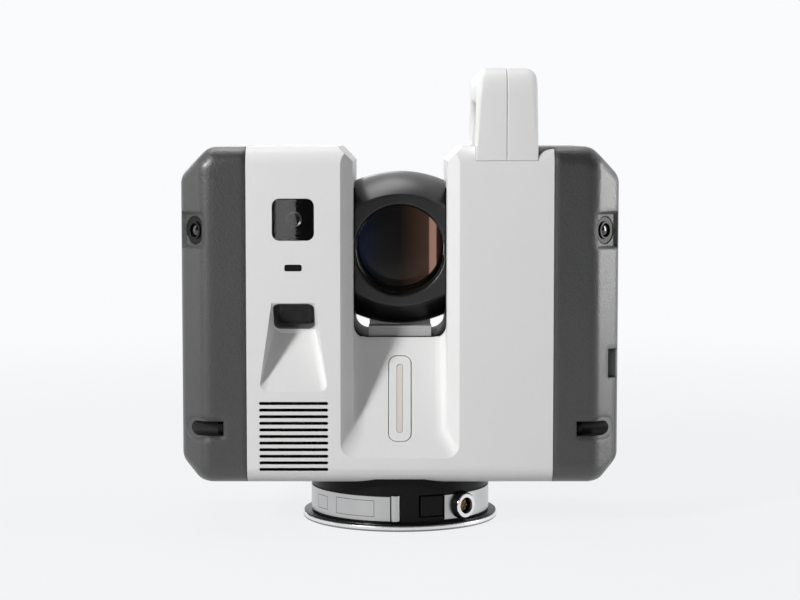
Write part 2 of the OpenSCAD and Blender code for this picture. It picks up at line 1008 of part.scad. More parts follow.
// Tray of the batteries, on a foot that stands on the chassis
module battery_bay() {
    x0 = seam_x + 2;
    x1 = bay_x;
    y = door_half - 2.5;
    color([0.1, 0.1, 0.1]) {
        difference() {
            translate([x0, -y, z0 + 10.5])
                cube([x1 - x0, 2 * y, door_h + 3.5]);
            translate([x0 + 1.8, 1.8 - y, z0 + 12.3])
                cube([x1 - x0, 2 * y - 3.6, door_h - 0.1]);
        }
        translate([plate_x - 14, -20, plate_z + plate_t])
            cube([x0 + 1 - plate_x + 14, 40, 6]);
    }
}

// Two equal batteries side by side
module batteries() {
    x0 = seam_x + 3.9;
    x1 = bay_x - 0.5;
    y = door_half - 4.6;
    color([0.2, 0.22, 0.25])
        for (s = [0, 1])
            mirror([0, s, 0])
                translate([x0, 0.4, z0 + 12.4])
                    cube([x1 - x0, y - 0.4, door_h - 2]);
}

// Handle before it is parted along its middle
module handle_form() {
    r = 14;
    ri = 12;
    intersection() {
        translate([handle_x, 0, 0])
            along_x(handle_w)
                difference() {
                    polygon(concat(
                        [[half_d, handle_foot]],
                        arc([half_d - r, handle_top - r], r, 0, 90),
                        arc([r - half_d, handle_top - r], r, 90, 180),
                        [[-half_d, handle_foot]]));
                    polygon(concat(
                        [[half_d - leg_d, handle_foot - 1]],
                        arc([half_d - leg_d - ri, handle_top - bar_t - ri], ri, 0, 90),
                        arc([ri - half_d + leg_d, handle_top - bar_t - ri], ri, 90, 180),
                        [[leg_d - half_d, handle_foot - 1]]));
                }
        translate([handle_x, 0, 0])
            along_y(body_d + 2)
                polygon(concat(
                    [[handle_w / 2, handle_foot - 1], [handle_w / 2, z1]],
                    arc([handle_w / 2 - 8.3, handle_top - 7], 7, 0, 90),
                    arc([8.3 - handle_w / 2, handle_top - 7], 7, 90, 180),
                    [[-handle_w / 2, z1], [-handle_w / 2, handle_foot - 1]]));
    }
}

module handle_left() {
    color([0.92, 0.92, 0.91])
        intersection() {
            handle_form();
            translate([handle_x - body_w, -body_w, 0])
                cube([body_w - seam_gap / 2, 2 * body_w, 3 * body_w]);
        }
}

module handle_right() {
    color([0.92, 0.92, 0.91])
        intersection() {
            handle_form();
            translate([handle_x + seam_gap / 2, -body_w, 0])
                cube([body_w, 2 * body_w, 3 * body_w]);
        }
}

// Frame that carries the drive, the bearings and the telescope
module chassis() {
    top = axis_z + 34;
    color([0.55, 0.56, 0.58])
        difference() {
            union() {
                translate([-plate_x, -38, plate_z])
                    cube([2 * plate_x, 76, plate_t]);
                translate([0, 0, race_z])
                    cylinder(r = race_out + 4, h = plate_z - race_z + 1);
                for (s = [0, 1])
                    mirror([s, 0, 0])
                        translate([upright_x, -32, plate_z])
                            cube([upright_t, 64, top - plate_z]);
            }
            translate([0, 0, race_z - 1])
                cylinder(r = race_out, h = race_h + 1);
            translate([0, 0, race_z])
                cylinder(r = hub_bore, h = 40);
            translate([0, mesh_d, race_z - 1])
                cylinder(r = 4, h = 40);
            axle(11, -upright_x - 20, -upright_x + 5);
            axle(27 + press, upright_x - 5, upright_x + 20);
        }
}

// Housing of the mirror motor with a seat for the rear bearing
module mirror_motor() {
    color([0.3, 0.31, 0.33])
        difference() {
            axle(20, -motor_x1, -motor_x0);
            axle(shaft_r + 0.6, -motor_x1 - 1, -motor_x0 + 1);
            axle(11, -motor_x1 - 1, -motor_x1 + 6);
        }
}

// Bearings of the mirror shaft, in the upright and in the motor
module mirror_bearings() {
    color([0.7, 0.7, 0.72])
        for (x = [motor_x0, motor_x1])
            difference() {
                axle(11, -x, 6 - x);
                axle(shaft_r + run_fit, -x - 1, 7 - x);
            }
}

// Reading head over the rim of the encoder disc
module encoder_head() {
    color([0.1, 0.3, 0.2])
        difference() {
            translate([-motor_x1 - 9, -7, axis_z + 13])
                cube([9, 14, 14]);
            axle(23, -disc_x - 2.2, -disc_x + 0.7);
        }
}

// Half of the space in front of the mirror plane, behind it when t is given
module mirror_slab(a, b) {
    translate([0, 0, axis_z])
        rotate([0, 0, 45])
            translate([-80, a, -80])
                cube([160, b - a, 160]);
}

// Barrel with a flat front face and a bent light path
module rotor_housing() {
    k = bulge_r - rotor_r;
    n = 14;
    color([0.12, 0.12, 0.13])
        difference() {
            translate([0, 0, axis_z])
                rotate([0, 90, 0])
                    rotate_extrude($fn = 96)
                        polygon(concat(
                            [[0, -rotor_half]],
                            [for (i = [0:n]) let (x = rotor_half * (2 * i / n - 1))
                                [sqrt(bulge_r * bulge_r - x * x) - k, x]],
                            [[0, rotor_half]]));
            translate([-60, -100 - face_y, axis_z - 60])
                cube([120, 100, 120]);
            intersection() {
                union() {
                    translate([0, 0, axis_z])
                        rotate([90, 0, 0])
                            cylinder(r = aperture_r, h = 80);
                    translate([0, 0, axis_z])
                        rotate([-90, 0, 0])
                            cylinder(r = aperture_r, h = 80);
                }
                mirror_slab(-100, mirror_t + press);
            }
            intersection() {
                axle(aperture_r, -60, 60);
                mirror_slab(-100, 0);
            }
            axle(shaft_r + press, -rotor_half - 1, -12);
            translate([0, 2 - face_y, axis_z])
                rotate([90, 0, 0])
                    cylinder(r1 = aperture_r, r2 = aperture_r + 1.8, h = 3);
        }
}

// Slanted mirror plate
module mirror_plate() {
    color([0.5, 0.4, 0.3])
        intersection() {
            translate([0, 0, axis_z])
                rotate([90, 0, 0])
                    cylinder(r = aperture_r - press, h = 160, center = true);
            mirror_slab(0, mirror_t);
        }
}

module rotor_shaft() {
    color([0.7, 0.7, 0.72])
        axle(shaft_r, -disc_x - 5, -12);
}

module encoder_disc() {
    color([0.6, 0.65, 0.7])
        difference() {
            axle(22, -disc_x - 1.5, -disc_x);
            axle(shaft_r + press, -disc_x - 3, -disc_x + 2);
        }
}

// Receiving tube behind the window in the right pillar
module telescope_tube() {
    color([0.1, 0.1, 0.11])
        difference() {
            axle(27, gap_half + liner_t + 0.1, seam_x - 8);
            axle(22, 0, seam_x - 11);
            axle(24.6, 0, gap_half + liner_t + 3.2);
            axle(9 + press, 0, seam_x);
        }
}

module telescope_window() {
    color([0.35, 0.2, 0.1])
        axle(24.5, gap_half + liner_t + 0.1, gap_half + liner_t + 3.1);
}

module laser_module() {
    color([0.6, 0.6, 0.62]) {
        axle(9, seam_x - 30, seam_x - 8);
        axle(14, seam_x - 8, seam_x - 2);
    }
}

// Circuit board against the right upright
module main_board() {
    x = upright_x + upright_t;
    color([0.1, 0.35, 0.2]) {
        translate([x, -30, plate_z + 10])
            cube([1.6, 60, 62]);
        translate([x + 1.6, -18, plate_z + 20])
            cube([2.2, 16, 16]);
        translate([x + 1.6, 6, plate_z + 40])
            cube([1.6, 14, 18]);
    }
}

// Square frame of the fan behind the grille
module fan_frame() {
    s = fan_w;
    color([0.08, 0.08, 0.08])
        translate([-pillar_x, wall - half_d, fan_z])
            rotate([90, 0, 0]) {
                difference() {
                    plate(s, s, 3, 10);
                    translate([0, 0, -12])
                        cylinder(r = s / 2 - 1.2, h = 14);
                }
                for (a = [0:90:270])
                    rotate([0, 0, a + 45])
                        translate([4, -1, -10])
                            cube([s / 2 - 4, 2, 1.6]);
                translate([0, 0, -10])
                    cylinder(r = 7, h = 2.4);
                translate([0, 0, -10])
                    cylinder(r = 1.5, h = 8);
            }
}

// Fan wheel with slanted blades
module fan_rotor() {
    s = fan_w;
    color([0.1, 0.1, 0.1])
        translate([-pillar_x, wall - half_d, fan_z])
            rotate([90, 0, 0])
                difference() {
                    union() {
                        translate([0, 0, -7])
                            cylinder(r = 7, h = 6);
                        for (a = [0:51.43:350])
                            rotate([0, 0, a])
                                translate([5, 0, -4])
                                    rotate([38, 0, 0])
                                        translate([0, -3.4, -0.5])
                                            cube([s / 2 - 7, 6.8, 1]);
                    }
                    translate([0, 0, -8])
                        cylinder(r = 1.5 + run_fit, h = 6.2);
                }
}

// Pale mounting ring under the drum
module mount_ring() {
    color([0.85, 0.85, 0.85])
        difference() {
            rotate_extrude()
                polygon([
                    [11 + press, 0], [ring_r - 0.6, 0], [ring_r, 0.6],
                    [ring_r, ring_h - 0.4], [ring_r - 0.4, ring_h], [11 + press, ring_h]]);
            base_screw_holes();
        }
}

module base_screw_holes() {
    for (a = [45:90:315])
        rotate([0, 0, a])
            translate([screw_ring, 0, -1]) {
                cylinder(r = 2 + press, h = ring_h + 4);
                cylinder(r = 3.6 + press, h = 2.2);
            }
}

module base_screws() {
    color([0.6, 0.6, 0.62])
        for (a = [45:90:315])
            rotate([0, 0, a])
                translate([screw_ring, 0, 0])
                    difference() {
                        union() {
                            translate([0, 0, 0.2])
                                cylinder(r = 2, h = ring_h + 2.6);
                            translate([0, 0, 0.2])
                                cylinder(r = 3.6, h = 1);
                        }
                        translate([0, 0, -0.8])
                            cylinder(r = 1.6, h = 1.7, $fn = 6);
                    }
}

// Black drum with its flange, floor and openings
module base_drum() {
    top = base_h + 1.2;
    in_r = drum_r - drum_wall;
    color([0.06, 0.06, 0.06])
        difference() {
            union() {
                rotate_extrude()
                    polygon([
                        [11 + press, ring_h], [ring_r - 0.5, ring_h], [ring_r - 0.5, ring_h + 0.6],
                        [drum_r, ring_h + 1], [drum_r, top], [in_r, top],
                        [in_r, drum_floor], [27, drum_floor], [27, gear_z], [22.2, gear_z],
                        [22.2, drum_floor], [11 + press, drum_floor]]);
                sector(key_stop, key_stop - 2, drum_floor - 0.5, band_top - 4, key_from, key_to);
            }
            base_screw_holes();
            sector(drum_r + 5, in_r - 1, key_low - 0.6, band_top + 0.6, key_from - 1, key_to + 1);
            label_post(press);
            on_socket() {
                cylinder(r = socket_r + 0.1, h = 20);
                translate([0, 0, -10])
                    cylinder(r = socket_stub + press, h = 20);
            }
        }
}

// Frame at the power socket: Z leaves the drum, from 5 under its surface
module on_socket() {
    rotate([0, 0, socket_az])
        translate([0, -drum_r + 5, socket_z])
            rotate([90, 0, 0])
                children();
}

// Upright bead at the end of the front plate
module label_post(g) {
    rotate([0, 0, -3])
        translate([0, -drum_r + 0.7, band_low - g])
            cylinder(r = 2.7 + g, h = band_top - band_low + 0.6 + 2 * g, $fn = 48);
}

// Pale curved plates on the drum
module band_plates() {
    color([0.7, 0.7, 0.7]) {
        sector(drum_r + 0.8, drum_r, band_low, band_top, -104, -6.2);
        label_post(0);
        difference() {
            sector(drum_r + 0.8, drum_r, band_low, band_top, key_to + 1.4, 100);
            on_socket()
                cylinder(r = socket_r + 0.1, h = 20);
        }
    }
}

// Shell of the round power socket
module power_socket() {
    color([0.75, 0.75, 0.76])
        on_socket()
            difference() {
                union() {
                    cylinder(r = socket_r, h = 6.6);
                    translate([0, 0, -4])
                        cylinder(r = socket_stub, h = 8);
                    cylinder(r = socket_r - 0.3, h = 9.8);
                }
                translate([0, 0, 2])
                    cylinder(r = 5, h = 10);
            }
}

// Insert of the power socket with its pins
module socket_insert() {
    color([0.55, 0.42, 0.25])
        on_socket() {
            translate([0, 0, 2])
                cylinder(r = 3.6, h = 4);
            translate([0, 0, 2])
                cylinder(r = 5 - press, h = 1);
            for (a = [0:72:300])
                rotate([0, 0, a])
                    translate([2.2, 0, 5])
                        cylinder(r = 0.45, h = 2.6, $fn = 16);
        }
}

// Key in the drum's wall, pushed in to free the tripod stub
module release_key() {
    color([0.09, 0.09, 0.09]) {
        sector(drum_r + 0.6, key_inner - 0.1, key_low, band_top, key_from, key_to);
        sector(key_inner, key_inner - key_flange, key_low, band_top + 1.8, key_from - 2.2, key_to + 2.2);
    }
}

// Hollow steel spindle on the drum's floor
module spindle() {
    color([0.65, 0.66, 0.68])
        rotate_extrude()
            polygon([
                [11 + press, drum_floor], [22, drum_floor], [22, gear_z], [17, gear_z],
                [17, race_z], [race_in - press, race_z], [race_in - press, race_z + race_h + 1],
                [11 + press, race_z + race_h + 1]]);
}

// Bush with the bore for the tripod stub
module stub_socket() {
    color([0.7, 0.6, 0.4])
        difference() {
            cylinder(r = 11, h = stub_l + 2.2);
            translate([0, 0, -1])
                cylinder(r = stub_r, h = stub_l + 1);
        }
}

// Involute tooth outline of a gear with n teeth
function inv(a) = tan(a) * 180 / PI - a;
function tooth_half(n, r) =
    let (p = gear_m * n / 2, b = p * cos(20))
    90 / n - 0.08 * 180 / PI / p + inv(20) - inv(acos(min(1, b / max(b, r))));
function gear_outline(n) =
    let (p = gear_m * n / 2, top = p + 0.92 * gear_m, root = p - 1.2 * gear_m,
        b = max(root, p * cos(20)), k = 4)
    [for (i = [0:n - 1]) let (a = 360 * i / n)
        each concat(
            [root * [cos(a - tooth_half(n, b) - 0.01), sin(a - tooth_half(n, b) - 0.01)]],
            [for (j = [0:k]) let (r = b + 0.01 + (top - b - 0.01) * j / k, t = tooth_half(n, r))
                r * [cos(a - t), sin(a - t)]],
            [for (j = [k:-1:0]) let (r = b + 0.01 + (top - b - 0.01) * j / k, t = tooth_half(n, r))
                r * [cos(a + t), sin(a + t)]],
            [root * [cos(a + tooth_half(n, b) + 0.01), sin(a + tooth_half(n, b) + 0.01)]])];

// Fixed gear of the azimuth drive
module azimuth_gear() {
    color([0.7, 0.62, 0.35])
        rotate([0, 0, 90 + 180 / gear_n])
            difference() {
                translate([0, 0, gear_z])
                    linear_extrude(gear_t)
                        polygon(gear_outline(gear_n));
                translate([0, 0, gear_z - 1])
                    cylinder(r = 17 + press, h = gear_t + 2);
            }
}

// Pinion with its shaft
module pinion() {
    color([0.7, 0.7, 0.72])
        translate([0, mesh_d, 0]) {
            rotate([0, 0, -90])
                translate([0, 0, gear_z + 0.3])
                    linear_extrude(gear_t - 0.6)
                        polygon(gear_outline(pinion_n));
            translate([0, 0, gear_z + 0.3])
                cylinder(r = 2, h = plate_z + plate_t + 6 - gear_z);
        }
}

module azimuth_motor() {
    color([0.3, 0.31, 0.33])
        translate([0, mesh_d, plate_z + plate_t])
            difference() {
                cylinder(r = 9.5, h = 17);
                translate([0, 0, -1])
                    cylinder(r = 2 + run_fit, h = 10);
            }
}

module race_groove() {
    rotate_extrude()
        translate([ball_ring, race_z + race_h / 2])
            circle(r = ball_r + 0.06, $fn = 32);
}

module bearing_inner() {
    color([0.7, 0.7, 0.72])
        difference() {
            ring(18.8, race_in, race_z, race_z + race_h);
            race_groove();
        }
}

module bearing_outer() {
    color([0.7, 0.7, 0.72])
        difference() {
            ring(race_out - press, 22.2, race_z, race_z + race_h);
            race_groove();
        }
}

module bearing_balls() {
    color([0.8, 0.8, 0.82])
        for (a = [0:24:336])
            rotate([0, 0, a])
                translate([ball_ring, 0, race_z + race_h / 2])
                    sphere(r = ball_r);
}

// Fixed part of the slip ring, in the spindle's bore over the stub socket
module slip_ring() {
    color([0.5, 0.35, 0.15])
        ring(11, 4, stub_l + 2.4, race_z + race_h);
}

// Turning part of the slip ring, held by the chassis
module slip_brush() {
    z = plate_z + plate_t;
    color([0.2, 0.2, 0.22]) {
        translate([0, 0, race_z + 2])
            cylinder(r = 3.6, h = z - race_z);
        translate([0, 0, z])
            cylinder(r = hub_bore + 2.5, h = 3);
    }
}

// Screws in the channels of the side covers
module cover_screws() {
    color([0.25, 0.25, 0.27])
        quarters()
            translate([0, -screw_y, screw_z])
                rotate([0, 90, 0])
                    difference() {
                        union() {
                            translate([0, 0, seam_x - boss_l + 1.5])
                                cylinder(r = 1.5, h = screw_x - seam_x + boss_l);
                            translate([0, 0, screw_x])
                                cylinder(r = 3.2, h = 3);
                        }
                        translate([0, 0, screw_x + 1.2])
                            cylinder(r = 1.5, h = 4, $fn = 6);
                    }
}

mount_ring();
base_drum();
stub_socket();
spindle();
band_plates();
power_socket();
socket_insert();
azimuth_gear();
bearing_inner();
slip_ring();
base_screws();
release_key();
chassis();
front_shell();
rear_shell();
left_cover();
right_cover();
well_liner();
reference_block();
light_frame();
light_lens();
front_window();
down_window();
top_window();
sensor_window();
front_camera();
front_lens();
tilt_cameras();
corner_cameras();
corner_lenses();
fan_frame();
fan_rotor();
display_glass();
display_panel();
power_button();
battery_bay();
batteries();
battery_door();
door_latch();
hinge_pin();
handle_left();
handle_right();
mirror_motor();
mirror_bearings();
encoder_head();
rotor_housing();
mirror_plate();
rotor_shaft();
encoder_disc();
telescope_tube();
telescope_window();
laser_module();
main_board();
azimuth_motor();
pinion();
bearing_outer();
bearing_balls();
slip_brush();
cover_screws();
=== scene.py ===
import math

import bmesh
import bpy
from bpy.props import FloatProperty, FloatVectorProperty, PointerProperty
from mathutils import Matrix, Vector


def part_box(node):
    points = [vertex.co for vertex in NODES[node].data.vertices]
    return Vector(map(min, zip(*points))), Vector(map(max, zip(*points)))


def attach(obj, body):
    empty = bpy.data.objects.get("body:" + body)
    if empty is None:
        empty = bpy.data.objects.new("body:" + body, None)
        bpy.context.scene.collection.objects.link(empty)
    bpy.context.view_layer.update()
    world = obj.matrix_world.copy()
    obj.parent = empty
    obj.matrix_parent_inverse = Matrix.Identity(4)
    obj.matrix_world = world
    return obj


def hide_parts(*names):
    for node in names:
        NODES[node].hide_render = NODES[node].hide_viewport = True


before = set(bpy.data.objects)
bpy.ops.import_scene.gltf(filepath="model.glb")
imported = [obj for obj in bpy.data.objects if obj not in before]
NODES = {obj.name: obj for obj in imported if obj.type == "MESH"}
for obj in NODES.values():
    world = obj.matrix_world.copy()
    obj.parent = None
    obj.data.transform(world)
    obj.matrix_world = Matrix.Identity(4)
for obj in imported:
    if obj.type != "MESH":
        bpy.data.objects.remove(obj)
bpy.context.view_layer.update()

bl_info = {
    "name": "Laser scanner finishes",
    "version": (1, 0, 0),
    "blender": (4, 5, 0),
    "location": "View3D > Sidebar > Scanner",
    "description": "Finishes, small pieces and a studio for a compact laser scanner",
    "category": "Object",
}

MM = 0.001
WHITE = (0.955, 0.962, 0.975)
FLOOR = (0.52, 0.52, 0.52)
SHARP = math.radians(21)
SPLIT = 2e-6
SHELL_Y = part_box("rear_shell")[1].y


# Shader maths

class Value:
    """A socket of a finish; sums and products of values add Math nodes."""

    def __init__(self, finish, socket):
        self.finish = finish
        self.socket = socket

    def math(self, operation, *terms):
        return self.finish.node(
            "ShaderNodeMath", {"operation": operation}, dict(enumerate(terms)))

    def out(self, name):
        return Value(self.finish, self.socket.node.outputs[name])

    def __add__(self, other):
        return self.math("ADD", self, other)

    def __radd__(self, other):
        return self.math("ADD", other, self)

    def __sub__(self, other):
        return self.math("SUBTRACT", self, other)

    def __rsub__(self, other):
        return self.math("SUBTRACT", other, self)

    def __mul__(self, other):
        return self.math("MULTIPLY", self, other)

    def __rmul__(self, other):
        return self.math("MULTIPLY", other, self)

    def __truediv__(self, other):
        return self.math("DIVIDE", self, other)

    def __pow__(self, other):
        return self.math("POWER", self, other)

    def __abs__(self):
        return self.math("ABSOLUTE", self)

    def __lt__(self, other):
        return self.math("LESS_THAN", self, other)

    def __gt__(self, other):
        return self.math("GREATER_THAN", self, other)

    def larger(self, other):
        return self.math("MAXIMUM", self, other)

    def step(self, low, high):
        """0 below low, 1 above high, and smooth between."""
        return self.finish.node(
            "ShaderNodeMapRange", {"interpolation_type": "SMOOTHSTEP"},
            {"Value": self, "From Min": low, "From Max": high})


class Finish:
    """One node tree whose surface is written as expressions."""

    def __init__(self, owner, output="ShaderNodeOutputMaterial"):
        owner.use_nodes = True
        self.owner = owner
        self.tree = owner.node_tree
        self.tree.nodes.clear()
        self.end = self.tree.nodes.new(output)

    def node(self, kind, settings=None, inputs=None, output=0):
        made = self.tree.nodes.new(kind)
        for name, value in (settings or {}).items():
            if name == "stops":
                while len(made.color_ramp.elements) < len(value):
                    made.color_ramp.elements.new(1.0)
                for element, (place, colour) in zip(made.color_ramp.elements, value):
                    element.position = place
                    element.color = (*colour[:3], 1.0)
            else:
                setattr(made, name, value)
        for key, value in (inputs or {}).items():
            if isinstance(value, Value):
                self.tree.links.new(value.socket, made.inputs[key])
            else:
                made.inputs[key].default_value = value
        return Value(self, made.outputs[output])

    def point(self):
        """The place on the object, in metres, in the row frame."""
        return self.node("ShaderNodeTexCoord", output="Object")

    def axes(self, point=None):
        """X, Y and Z of that point, or of the place on the object."""
        x = self.node("ShaderNodeSeparateXYZ", inputs={0: point or self.point()})
        return x, x.out("Y"), x.out("Z")

    def radius(self, across, along):
        """Distance from the axis that these two are counted from."""
        return (across * across + along * along) ** 0.5

    def stretched(self, sizes):
        """The place counted in cells of these sizes along X, Y and Z."""
        return self.node("ShaderNodeVectorMath", {"operation": "MULTIPLY"},
                         {0: self.point(), 1: [1.0 / s for s in sizes]})

    def turn(self, across, along):
        """The angle of that direction, in radians."""
        return across.math("ARCTAN2", across, along)

    def noise(self, size, detail=2.0, rough=0.5, point=None):
        """Noise in cells of that size, or of those sizes along X, Y and Z."""
        sizes = size if isinstance(size, (tuple, list)) else (size, size, size)
        return self.node("ShaderNodeTexNoise", inputs={
            "Vector": point or self.stretched(sizes), "Scale": 1.0,
            "Detail": detail, "Roughness": rough})

    def cells(self, size):
        """Distance to the middle of the nearest cell, in cells."""
        return self.node("ShaderNodeTexVoronoi", inputs={
            "Vector": self.stretched((size, size, size)), "Scale": 1.0})

    def mix(self, share, low, high):
        """A colour between two, by that share of the second."""
        low, high = (c if isinstance(c, Value) else (*c[:3], 1.0) for c in (low, high))
        return self.node("ShaderNodeMix", {"data_type": "RGBA"},
                         {0: share, 6: low, 7: high}, output=2)

    def ramp(self, share, stops):
        """A colour by that share, through stops of a place and a colour."""
        return self.node("ShaderNodeValToRGB", {"stops": stops}, {0: share})

    def outline(self, across, up, middle, half, width):
        """1 on the outline of a rectangle with that middle and those half sizes."""
        beside = abs(across - middle[0]) - half[0]
        above = abs(up - middle[1]) - half[1]
        return abs(beside.larger(above)) < width / 2

    def bump(self, height, depth, edge=0.0):
        """Relief of that depth, over edges that are rounded by that radius."""
        inputs = {"Height": height, "Distance": depth, "Strength": 1.0}
        if edge:
            inputs["Normal"] = self.node("ShaderNodeBevel", {"samples": 6}, {"Radius": edge})
        return self.node("ShaderNodeBump", inputs=inputs)

    def surface(self, constants, varied, painted_shade=None):
        """A Principled surface: plain numbers on its sockets, then what varies.

        Where painted_shade's first value is 1 the surface is dead matt, in painted_shade's colour:
        painted shade laid over it.
        """
        shader = self.node("ShaderNodeBsdfPrincipled", inputs=constants)
        for key, value in varied.items():
            self.tree.links.new(value.socket, shader.socket.node.inputs[key])
        if painted_shade:
            matt = self.node("ShaderNodeBsdfDiffuse", inputs={"Color": (*painted_shade[1], 1.0)})
            shader = self.node("ShaderNodeMixShader", inputs={0: painted_shade[0], 1: shader, 2: matt})
        self.close(shader)

    def close(self, shader):
        self.tree.links.new(shader.socket, self.end.inputs["Surface"])


def shades(colour, spread):
    """A darker and a lighter shade of a colour."""
    return tuple(c * (1 - spread) for c in colour), tuple(min(1, c * (1 + spread)) for c in colour)


def swing(noise, reach):
    """Noise that swings about 0 by half that reach."""
    return (noise - 0.5) * reach


FINISHES = {}

# Detail and roughness of fine noise, sizes of its cells, colour of drawn lines, track and seam widths
FINE = 3.0
CRISP = 0.6
DRIFT = 55 * MM
CLOUD = 9 * MM
WIPES = (30 * MM, 6 * MM, 30 * MM)
MARKING = (0.10, 0.10, 0.10)
TRACK = 1 / 300
SEAM = 0.05 * MM


def finish(name):
    """The material of that name, made by its function on first use."""
    material = bpy.data.materials.get("finish_" + name)
    if material is None:
        material = bpy.data.materials.new("finish_" + name)
        FINISHES[name](Finish(material), bpy.context.scene.scanner_looks)
    return material


def finish_maker(function):
    """Keeps a function that makes the finish of its own name."""
    FINISHES[function.__name__] = function
    return function


def moulded(f, colour, rough, grain, relief, speckle, specular, edge=0.0, coat=0.0, painted_shade=None):
    """Moulded or painted plastic: fine grain in tone, gloss and height, slow drift in tone.

    painted_shade is a mask and the colour of the painted shade it lays on.
    """
    fine = f.noise(grain, rough=CRISP)
    slow = f.noise(DRIFT)
    dark, light = shades(colour, speckle)
    tone = fine * 0.7 + slow * 0.3
    shade = f.mix(tone.step(0.25, 0.75), dark, light)
    f.surface({"Specular IOR Level": specular, "Coat Weight": coat, "Coat Roughness": 0.3}, {
        "Base Color": shade,
        "Roughness": rough + swing(fine, 0.12) + swing(slow, 0.06),
        "Normal": f.bump(fine, relief, edge)}, painted_shade)


def metal(f, colour, rough, lines, relief, spread=0.05, marking=None):
    """Machined metal with fine tool lines of the given cell sizes.

    marking is a mask of lines that are drawn on it.
    """
    marks = f.noise(lines, FINE, CRISP)
    cloud = f.noise(CLOUD)
    dark, light = shades(colour, spread)
    shade = f.mix(marks * 0.6 + cloud * 0.4, dark, light)
    gloss = rough + swing(marks, 0.16) + swing(cloud, 0.08)
    if marking:
        shade = f.mix(marking, shade, MARKING)
        gloss = gloss + marking * 0.15
    f.surface({"Metallic": 1.0}, {
        "Base Color": shade, "Roughness": gloss, "Normal": f.bump(marks, relief)})


def turned(f, colour, rough, pitch, relief, shadow_height):
    """Metal turned about the base's axis: rings of tool marks, with a painted shadow, dark and rougher,
    below that height.
    """
    x, y, z = f.axes()
    ring = f.node("ShaderNodeCombineXYZ", inputs={
        0: f.radius(x, y) / pitch, 1: z / pitch, 2: f.turn(y, x) * 0.7})
    marks = f.noise(pitch, FINE, CRISP, ring)
    dark, light = shades(colour, 0.06)
    # Painted shadow along the ring's lower edge: below shadow_height the colour drops to 0.3 of its own
    # and the surface gets rougher
    shadow_tone = [c * 0.3 for c in colour]
    bright = z.step(shadow_height * 0.8, shadow_height * 1.2)
    f.surface({"Metallic": 1.0}, {
        "Base Color": f.mix(bright, shadow_tone, f.mix(marks, dark, light)),
        "Roughness": rough + swing(marks, 0.15) + (1 - bright) * 0.15,
        "Normal": f.bump(marks, relief)})


def polished(f, colour, rough, specular, alpha=1.0):
    """Polished pane: faint wiping marks in the gloss."""
    wipe = f.noise(WIPES, FINE, CRISP)
    dark, light = shades(colour, 0.15)
    f.surface({"Specular IOR Level": specular, "Alpha": alpha}, {
        "Base Color": f.mix(wipe, dark, light),
        "Roughness": rough + wipe * 0.02})


def screw_axis():
    """Y and Z of the cover screws' axes, on the positive side."""
    low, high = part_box("cover_screws")
    head = (high.z - low.z) / 2
    return high.y - head, low.z + head


def screw_end(looks):
    """X at which the screw channels end, on the positive side."""
    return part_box("cover_screws")[1].x - looks.channel_end


@finish_maker
def white_plastic(f, looks):
    """Painted shells; the vent slots and the shell behind them carry painted shade, dead-matt black."""
    x, y, z = f.axes()
    low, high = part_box("fan_frame")
    middle = (low + high) / 2
    # Painted shade: inside the vent field, deeper than vent_shade_in, the shell is dead-matt black,
    # standing in for the shade in the slots
    vent = ((abs(x - middle.x) < looks.vent_w / 2)
            * (abs(z - middle.z + looks.vent_drop) < looks.vent_h / 2)
            * (abs(y) < SHELL_Y - looks.vent_shade_in))
    moulded(f, looks.white, rough=0.46, grain=looks.white_grain, relief=0.006 * MM, speckle=0.018,
            specular=0.4, edge=looks.shell_edge, painted_shade=(vent, looks.black))


@finish_maker
def dark_plastic(f, looks):
    """Textured covers; inside the screw channels in their corners they carry painted shade, mostly
    black.
    """
    x, y, z = f.axes()
    (beside, above), end = screw_axis(), screw_end(looks)
    # Painted shade: inside the screw channels, beyond the screw heads, the covers are laid 80% over
    # with dead-matt black
    channel = ((f.radius(abs(y) - beside, z - above) < looks.channel_r + SEAM)
               * (abs(x) > end))
    moulded(f, looks.cover, rough=0.46, grain=looks.cover_grain, relief=0.22 * MM, speckle=0.5,
            specular=0.9, edge=looks.cover_edge, coat=0.45, painted_shade=(channel * 0.8, looks.black))


@finish_maker
def lining_plastic(f, looks):
    """Mouths of the screw channels, textured as the covers are."""
    moulded(f, looks.cover, rough=0.46, grain=looks.cover_grain, relief=0.22 * MM, speckle=0.5,
            specular=0.9, edge=looks.trim_edge, coat=0.45)


@finish_maker
def channel_plastic(f, looks):
    """Duller walls inside the screw channels."""
    moulded(f, looks.cover, rough=0.5, grain=looks.cover_grain, relief=0.1 * MM, speckle=0.5,
            specular=0.4, edge=looks.trim_edge, coat=0.1)


@finish_maker
def liner_black(f, looks):
    """Matt black of the well, the cover screws and the foam sheets that stand in for shade behind the
    vents.
    """
    moulded(f, looks.black, rough=0.62, grain=0.4 * MM, relief=0.01 * MM, speckle=0.2,
            specular=0.15, edge=looks.trim_edge)


@finish_maker
def black_plastic(f, looks):
    """Smooth black of the drum, the key and the inner frames."""
    moulded(f, looks.black, rough=0.34, grain=0.5 * MM, relief=0.008 * MM, speckle=0.15,
            specular=0.12, edge=looks.trim_edge)


@finish_maker
def grey_plastic(f, looks):
    """Even grey of the reference block."""
    moulded(f, looks.grey, rough=0.5, grain=0.5 * MM, relief=0.01 * MM, speckle=0.06, specular=0.4)


@finish_maker
def battery_plastic(f, looks):
    """Dark cases of the batteries."""
    moulded(f, (0.035, 0.036, 0.04), rough=0.5, grain=0.7 * MM, relief=0.03 * MM, speckle=0.15,
            specular=0.4)


@finish_maker
def rotor_black(f, looks):
    """Satin black of the rotor's barrel, with soft edges."""
    moulded(f, looks.rotor, rough=0.34, grain=0.3 * MM, relief=0.004 * MM, speckle=0.12,
            specular=0.60, edge=looks.rotor_edge)


